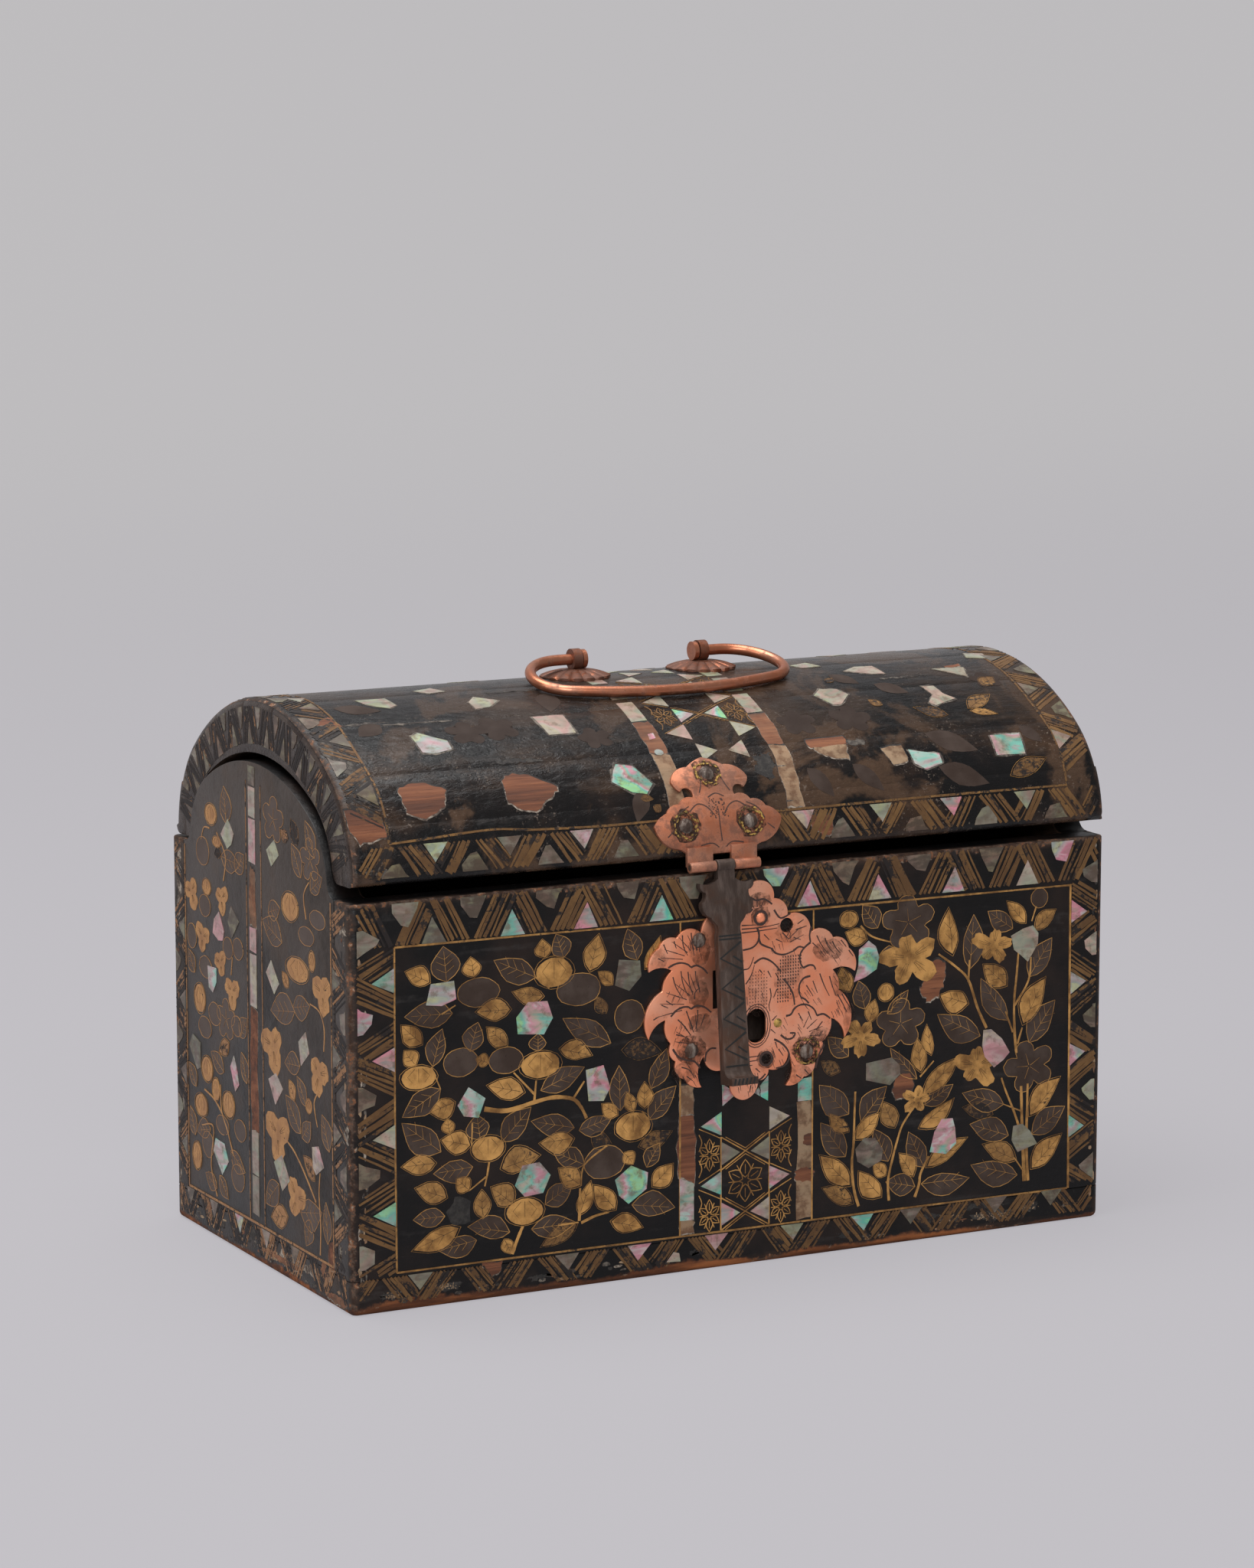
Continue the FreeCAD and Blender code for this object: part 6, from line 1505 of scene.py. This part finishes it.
plateFans = [  # the root of each leaf, and where its fine ribs end
    ((-13.2, 84.8), [(-25.4, 86.6), (-24, 88.8), (-21.8, 90.8), (-19.4, 91.8), (-16.8, 92.2), (-14.6, 91.6)]),
    ((-12.4, 72.8), [(-27, 70.4), (-25.6, 74.2), (-23.6, 77.2), (-21.2, 79.8), (-18.8, 81.6), (-16.2, 81.8),
     (-13.8, 81.2)]), ((-13.4, 62), [(-20.8, 63.6), (-20.4, 66.4), (-19, 69), (-16.8, 70.8), (-14.4, 71)]),
    ((17.4, 61.4), [(20.4, 66.8), (23, 65.6), (24.8, 63.4), (25.2, 60.8)]),
    ((11.4, 86), [(15.6, 92.4), (17.6, 91.2), (18.8, 89)]),
    ((4.4, 95.6), [(1.8, 99.8), (4.2, 100.6), (6.6, 99.8)]),
]
plateShading = [  # place and lean of the fine strokes at the leaf roots
    (-17, 66, -0.5), (-19, 78, -0.5), (26, 84, 0.9), (23, 61, -0.8), (28, 75, 0.8), (12, 88, 0.3), (-15, 88, 0.2),
    (20, 72, 0.8), (-17, 55, 0.6), (12, 57, 0.5), (30, 68, 0.5), (3, 75, 0.1), (14, 64, 0.7), (2, 50, 0.2),
]
plateRings = [  # place, size and width of the lines round the keyhole and two nail holes
    (4.2, 65.4, 7, 10.4, 0.24), (4.2, 65.4, 8.4, 11.8, 0.24), (7.2, 56.1, 3.6, 3.6, 0.7), (5.35, 94.6, 3.6, 3.6, 0.7),
]


def groove(face, points, width, taper=0.0, dark=0.0):
    lay(face, "groove", stroke(points, width, taper), dark)


def collar(face, x, z, radius):  # dark patina and flecks of brass round a nail
    lay(face, "grime", ovalOutline(x, z, 3.3 * radius, 3.1 * radius, 0, 0.12, 18))
    lay(face, "grime", ovalOutline(x, z, 2.1 * radius, 2.0 * radius, 0, 0.1, 16))
    for k in range(30):
        angle = 2 * math.pi * (k + shake(0.4)) / 30
        away = radius * dice.uniform(1.0, 1.42)
        long, short = dice.uniform(0.4, 1.3), dice.uniform(0.25, 0.6)
        fleck = ovalOutline(x + away * math.cos(angle), z + away * math.sin(angle), long, short, angle + 1.57, 0.3, 8)
        lay(face, "brass", fleck)


def chasePlate():
    for root, ends in plateFans:
        for end in ends:
            for first, last in ((0.40, 0.66), (0.60, 0.95)):
                bend = shake(0.25)
                groove(plateFace, [(root[0] + (end[0] - root[0]) * t + bend * (t - first),
                                    root[1] + (end[1] - root[1]) * t) for t in (first, (first + last) / 2, last)],
                       0.27, 0.6)
    for lines, width, taper in ((plateLeaves, 0.58, 0.25), (plateVeins, 0.36, 0.5)):
        for line in lines:
            groove(plateFace, flowing(line, 4), width, taper)
    for row in range(15):  # hatched ground in the middle
        for column in range(10):
            x, z = 10.6 + column * 0.78, 83.6 - row * 0.86
            if x + 0.45 * (83 - z) < 19.2 and x > 10.4 + max(0, z - 81) * 0.5:
                groove(plateFace, [(x, z), (x + 0.1, z - 0.5)], 0.3)
    for row in range(12):
        for column in range(7):
            x, z = 2.2 + column * 0.85, 80.2 - row * 0.9
            if x < 8.2 and z < 82 - abs(x - 5) * 1.2:
                groove(plateFace, [(x, z), (x, z - 0.35)], 0.2)
    for k in range(170):
        x, z, lean = dice.choice(plateShading)
        x, z = x + shake(3.4), z + shake(2.8)
        end = (x + lean * 1.6, z - dice.uniform(1.4, 2.2))
        groove(plateFace, [(x, z), (x + lean * 0.7, z - 0.8), end], 0.17, 0.7)
    for x, z, width, height, thin in plateGrime:
        lay(plateFace, "grime", ovalOutline(x, z, width, height, 0, 0.12, 20), 0.25 + 0.9 * thin)
    for x, z, wide, tall, width in plateRings:
        ring = ovalOutline(x, z, wide, tall, 0, 0.015, 22)
        groove(plateFace, ring + ring[:1], width)
    collar(plateFace, 19.7, 56.9, 2.75)


haspLines = [  # those on the left are repeated on the right
    [(-14.6, 12.2), (-12, 14), (-9.4, 13.2), (-7.4, 10.8)], [(-6, 4), (-6.2, 8), (-6, 12.4)],
    [(-10.6, 17), (-9.4, 19.6), (-8.6, 23.6)], [(-19.4, 9), (-17.6, 12), (-14.6, 13.6)],
    [(-12.4, 3.2), (-9, 3.6), (-7, 2.4)], [(-8.4, 15.6), (-6, 16.6), (-3.6, 15.6)], [(-22, 6), (-20, 7.6)],
]
haspMarks = {"axis": -6, "top": -20.5, "foot": -52, "step": 8, "half": 3.2, "bars": (-18.6, -19.5, -53.2),
             "lipCuts": 6, "nails": [(-6.6, 22.45), (-16.29, 8.61), (3.09, 8.61)], "stipple": (12.6, 2.6, 60)}


def chaseHasp():
    axis = haspMarks["axis"]
    for line in haspLines:
        groove(haspPlateFace, flowing(line, 4), 0.36, 0.3)
        if max(line)[0] < axis:
            groove(haspPlateFace, flowing([(2 * axis - u, v) for u, v in line], 4), 0.36, 0.3)
    v, reach, dots = haspMarks["stipple"]
    for k in range(dots):
        dot = (axis + shake(reach), v + shake(reach))
        lay(haspPlateFace, "groove", ovalOutline(*dot, 0.4, 0.4, 0, 0.1, 6))
    for x, s in haspMarks["nails"]:
        collar(haspPlateFace, x, s, 2.7)
    half, low = haspMarks["half"], haspMarks["top"]
    while low > haspMarks["foot"]:
        nextLow = low - haspMarks["step"]
        middle = (low + nextLow) / 2
        groove(haspFace, [(half, low), (-half, middle), (half, nextLow + 0.6)], 0.62, 0, 1.0)
        groove(haspFace, [(half * 0.2, middle + 0.4), (half, middle - 1.4)], 0.45, 0, 1.0)
        low = nextLow
    for v in haspMarks["bars"]:
        groove(haspFace, [(-3.3, v), (3.3, v)], 0.45, 0, 1.0)
    for k in range(haspMarks["lipCuts"]):
        groove(lipFace, [(-3.2 + k * 1.15, -57.8), (-2.7 + k * 1.15, -56.2)], 0.5, 0, 1.0)


chasePlate()
chaseHasp()
buildLayers()


# CAD pieces: finishes, and eased copies where the real edges are soft

nodeFinish = {
    "lidLacquer": ["left_lid_rib", "right_lid_rib"],
    "inner": ["board_pegs", "floor_pegs"],
    "nail": ["lock_plate_nails", "hasp_plate_nails", "hinge_box_nails", "hinge_lid_nails", "lock_back_plate_nails"],
    "iron": ["lock_bolt", "lock_bolt_guides", "lock_back_plate", "lock_spring", "hasp_staple", "hasp_pin",
             "left_hinge_pin", "right_hinge_pin"],
    "brass": ["lock_plate_rivets"],
    "leafCopper": ["left_hinge_box_leaf", "right_hinge_box_leaf", "left_hinge_lid_leaf", "right_hinge_lid_leaf"],
    "bail": ["bail_handle"],
    "rosette": ["left_handle_eye", "right_handle_eye"]}
easedNodes = {  # finish, width of the soft edge, body and slot
    **{name: ("lacquer", width, "box", "lacquer") for name, width in (
        ("front_board", 0.5), ("back_board", 0.5), ("bottom_board", 0.1), ("left_end_board", 0.4),
        ("right_end_board", 0.4))},
    "lock_plate": ("plate", 0.22, "box", "copper"), "hasp_plate": ("leafCopper", 0.2, "lid", "copper"),
    "hasp": ("iron", 0.35, "hasp", "iron"),
    **{"lid_stave_%d" % number: ("lidLacquer", 0.03, "lid", "lacquer") for number in range(1, 10)}}
wornEdge = {"width": 1.6, "segments": 4, "foot": 0.05, "above": 111}


def finishNodes():
    for finish, names in nodeFinish.items():
        for name in names:
            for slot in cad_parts[name].material_slots:
                slot.material = finishes[finish]


def wornArris(edge):  # round the foot of the box and along the ends of the vault
    x, y, z = (edge.verts[0].co + edge.verts[1].co) / (2 * mm)
    normals = [face.normal for face in edge.link_faces]
    if z < wornEdge["foot"]:
        upright, level = sorted(abs(normal.z) for normal in normals)
        return upright < 0.1 < level
    flat, other = sorted(normals, key=lambda normal: abs(normal.x))
    height = z - lidForm["spring"]
    square = abs(other.x) > 0.9 and abs(flat.x) < 0.1
    outward = flat.y * y + flat.z * height > 0.6 * math.hypot(y, height)
    atEnd = min(abs(x - lidForm["left"]), abs(x - lidForm["right"])) < 0.05
    return square and outward and atEnd and z > wornEdge["above"]


def soften(solid, edges, width, segments, clamp):
    bmesh.ops.bevel(solid, geom=edges, offset=width * mm, offset_type="OFFSET", segments=segments, profile=0.5,
                    affect="EDGES", clamp_overlap=clamp)


def easedCopy(name, finish, width, body, slot):
    solid = bmesh.new()
    solid.from_mesh(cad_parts[name].data)
    bmesh.ops.remove_doubles(solid, verts=solid.verts[:], dist=2e-6)
    bmesh.ops.dissolve_limit(solid, angle_limit=math.radians(1), verts=solid.verts[:], edges=solid.edges[:])
    worn = [edge for edge in solid.edges if len(edge.link_faces) == 2 and wornArris(edge)]
    soften(solid, worn, wornEdge["width"], wornEdge["segments"], False)
    sharp = [edge for edge in solid.edges if len(edge.link_faces) == 2 and edge.calc_face_angle() > math.radians(40)]
    soften(solid, sharp, width, 2, True)
    mesh = bpy.data.meshes.new(name + "_eased")
    solid.to_mesh(mesh)
    solid.free()
    smoothed(mesh, 30)
    piece = addPiece(name + "_eased", mesh, body, finish)
    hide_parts(name)


finishNodes()
for name, values in easedNodes.items():
    easedCopy(name, *values)
print("solids finished")


# fluted rosettes under the bail's eyes

rosetteForm = {"radius": 9.75, "tall": 1.7, "rim": 0.45, "bore": 1.3, "petals": 16, "flute": 0.34, "rings": 12,
               "scallop": 0.08, "seat": 0.06, "places": {"left": -18.65, "right": 20.25}}


def rosette(side, x):
    f = rosetteForm
    rings, spokes = f["rings"], f["petals"] * 8
    top = lidForm["spring"] + lidForm["rise"]
    verts = []

    def rimAt(spoke):  # angle, lobe and reach of the scalloped rim
        angle = 2 * math.pi * spoke / spokes
        lobe = abs(math.cos(f["petals"] / 2 * angle))
        return angle, lobe, f["radius"] * (1 - f["scallop"] + f["scallop"] * lobe ** 0.6)

    for ring in range(rings + 1):  # the domed top, from the bore outward
        share = ring / rings
        for spoke in range(spokes):
            angle, lobe, reach = rimAt(spoke)
            r = f["bore"] + (reach - f["bore"]) * share
            flute = f["flute"] * (1 - lobe) ** 1.5 * min(1, max(0, share - 0.22) * 3)
            dome = f["rim"] + f["tall"] * (1 - share ** 2.2) - flute
            if 0.2 < share < 0.3:
                dome -= 0.15
            verts.append(tilted(x + r * math.cos(angle), r * math.sin(angle), top + dome) * mm)
    for outer in (True, False):  # the underside, on the vault
        for spoke in range(spokes):
            angle, lobe, reach = rimAt(spoke)
            r = reach if outer else f["bore"]
            y = r * math.sin(angle)
            z = crownZ + math.sqrt((lidCrown + f["seat"]) ** 2 - y * y)
            verts.append(tilted(x + r * math.cos(angle), y, z) * mm)
    faces = []
    for ring in range(rings + 3):
        for spoke in range(spokes):
            after = (spoke + 1) % spokes
            a, b = ring * spokes, ((ring + 1) % (rings + 3)) * spokes
            faces.append([a + spoke, a + after, b + after, b + spoke])
    name = side + "_rosette_fluted"
    mesh = closedMesh(name, verts, faces)
    smoothed(mesh, 50)
    piece = addPiece(name, mesh, "lid", "rosette")
    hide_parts(side + "_rosette")


for side, x in rosetteForm["places"].items():
    rosette(side, x)
print("rosettes made")


# floor and light

stageLook = {"grey": (0.53, 0.52, 0.535), "floor": (0.478, 0.462, 0.492), "wall": (0.556, 0.543, 0.555), "own": 0.86,
             "world": 0.3, "half": 5, "front": -4.0, "bend": 2.2, "radius": 0.8, "high": 4.0, "tone": (500, 2400)}
lamps = {"above": {"at": (-0.25, 0.1, 1.45), "aim": (0, 0, 0.1), "size": 1.3, "power": 34},
         "left": {"at": (-1.7, -0.7, 1.0), "aim": (0, 0, 0.08), "size": 1.2, "power": 10},
         "front": {"at": (-0.75, -2.05, 1.3), "aim": (0, 0, 0.08), "size": 1.2, "power": 28}}


def stagePaint():  # lit by the lamps, and partly glowing so that it stays pale
    paint = Paint("studioGrey", Roughness=0.9, Specular_IOR_Level=0.1, Base_Color=(*stageLook["grey"], 1))
    seen, mirrored, through = [paint.node("LightPath", out="Is %s Ray" % kind)
                               for kind in ("Camera", "Glossy", "Transmission")]
    tone = paint.mix(paint.step(paint.axes()[1], *stageLook["tone"]), stageLook["floor"], stageLook["wall"])
    glow = paint.node("Emission", None, {"Color": tone, "Strength": 1.0})
    own = (seen + mirrored + through).low(1) * stageLook["own"]
    both = paint.node("MixShader", None, [own, Wire(paint, paint.shader.outputs[0]), glow])
    paint.tree.links.new(both.socket, paint.tree.nodes["Material Output"].inputs["Surface"])
    return paint.material


def addStage():
    bend, radius, high = stageLook["bend"], stageLook["radius"], stageLook["high"]
    profile = [(stageLook["front"], 0.0)]
    for step in range(13):
        angle = math.radians(90 * step / 12)
        profile.append((bend + radius * math.sin(angle), radius - radius * math.cos(angle)))
    profile.append((bend + radius, high))
    count = len(profile)
    verts = [(x, y, z) for x in (-stageLook["half"], stageLook["half"]) for y, z in profile]
    mesh = bpy.data.meshes.new("studio_sweep")
    mesh.from_pydata(verts, [], [[k, k + 1, count + k + 1, count + k] for k in range(count - 1)])
    mesh.materials.append(stagePaint())
    smoothed(mesh, 30)
    sweep = bpy.data.objects.new("studio_sweep", mesh)
    scene.collection.objects.link(sweep)


def addLamps():
    for name, look in lamps.items():
        light = bpy.data.lights.new(name, "AREA")
        light.size = look["size"]
        light.energy = look["power"]
        lamp = bpy.data.objects.new(name, light)
        lamp.location = look["at"]
        lamp.rotation_euler = (Vector(look["aim"]) - Vector(look["at"])).to_track_quat("-Z", "Y").to_euler()
        scene.collection.objects.link(lamp)
    world = bpy.data.worlds.new("studioWorld")
    world.use_nodes = True
    sky = world.node_tree.nodes["Background"]
    sky.inputs["Color"].default_value = (1, 1, 1, 1)
    sky.inputs["Strength"].default_value = stageLook["world"]
    scene.world = world


addStage()
addLamps()
print("stage lit")
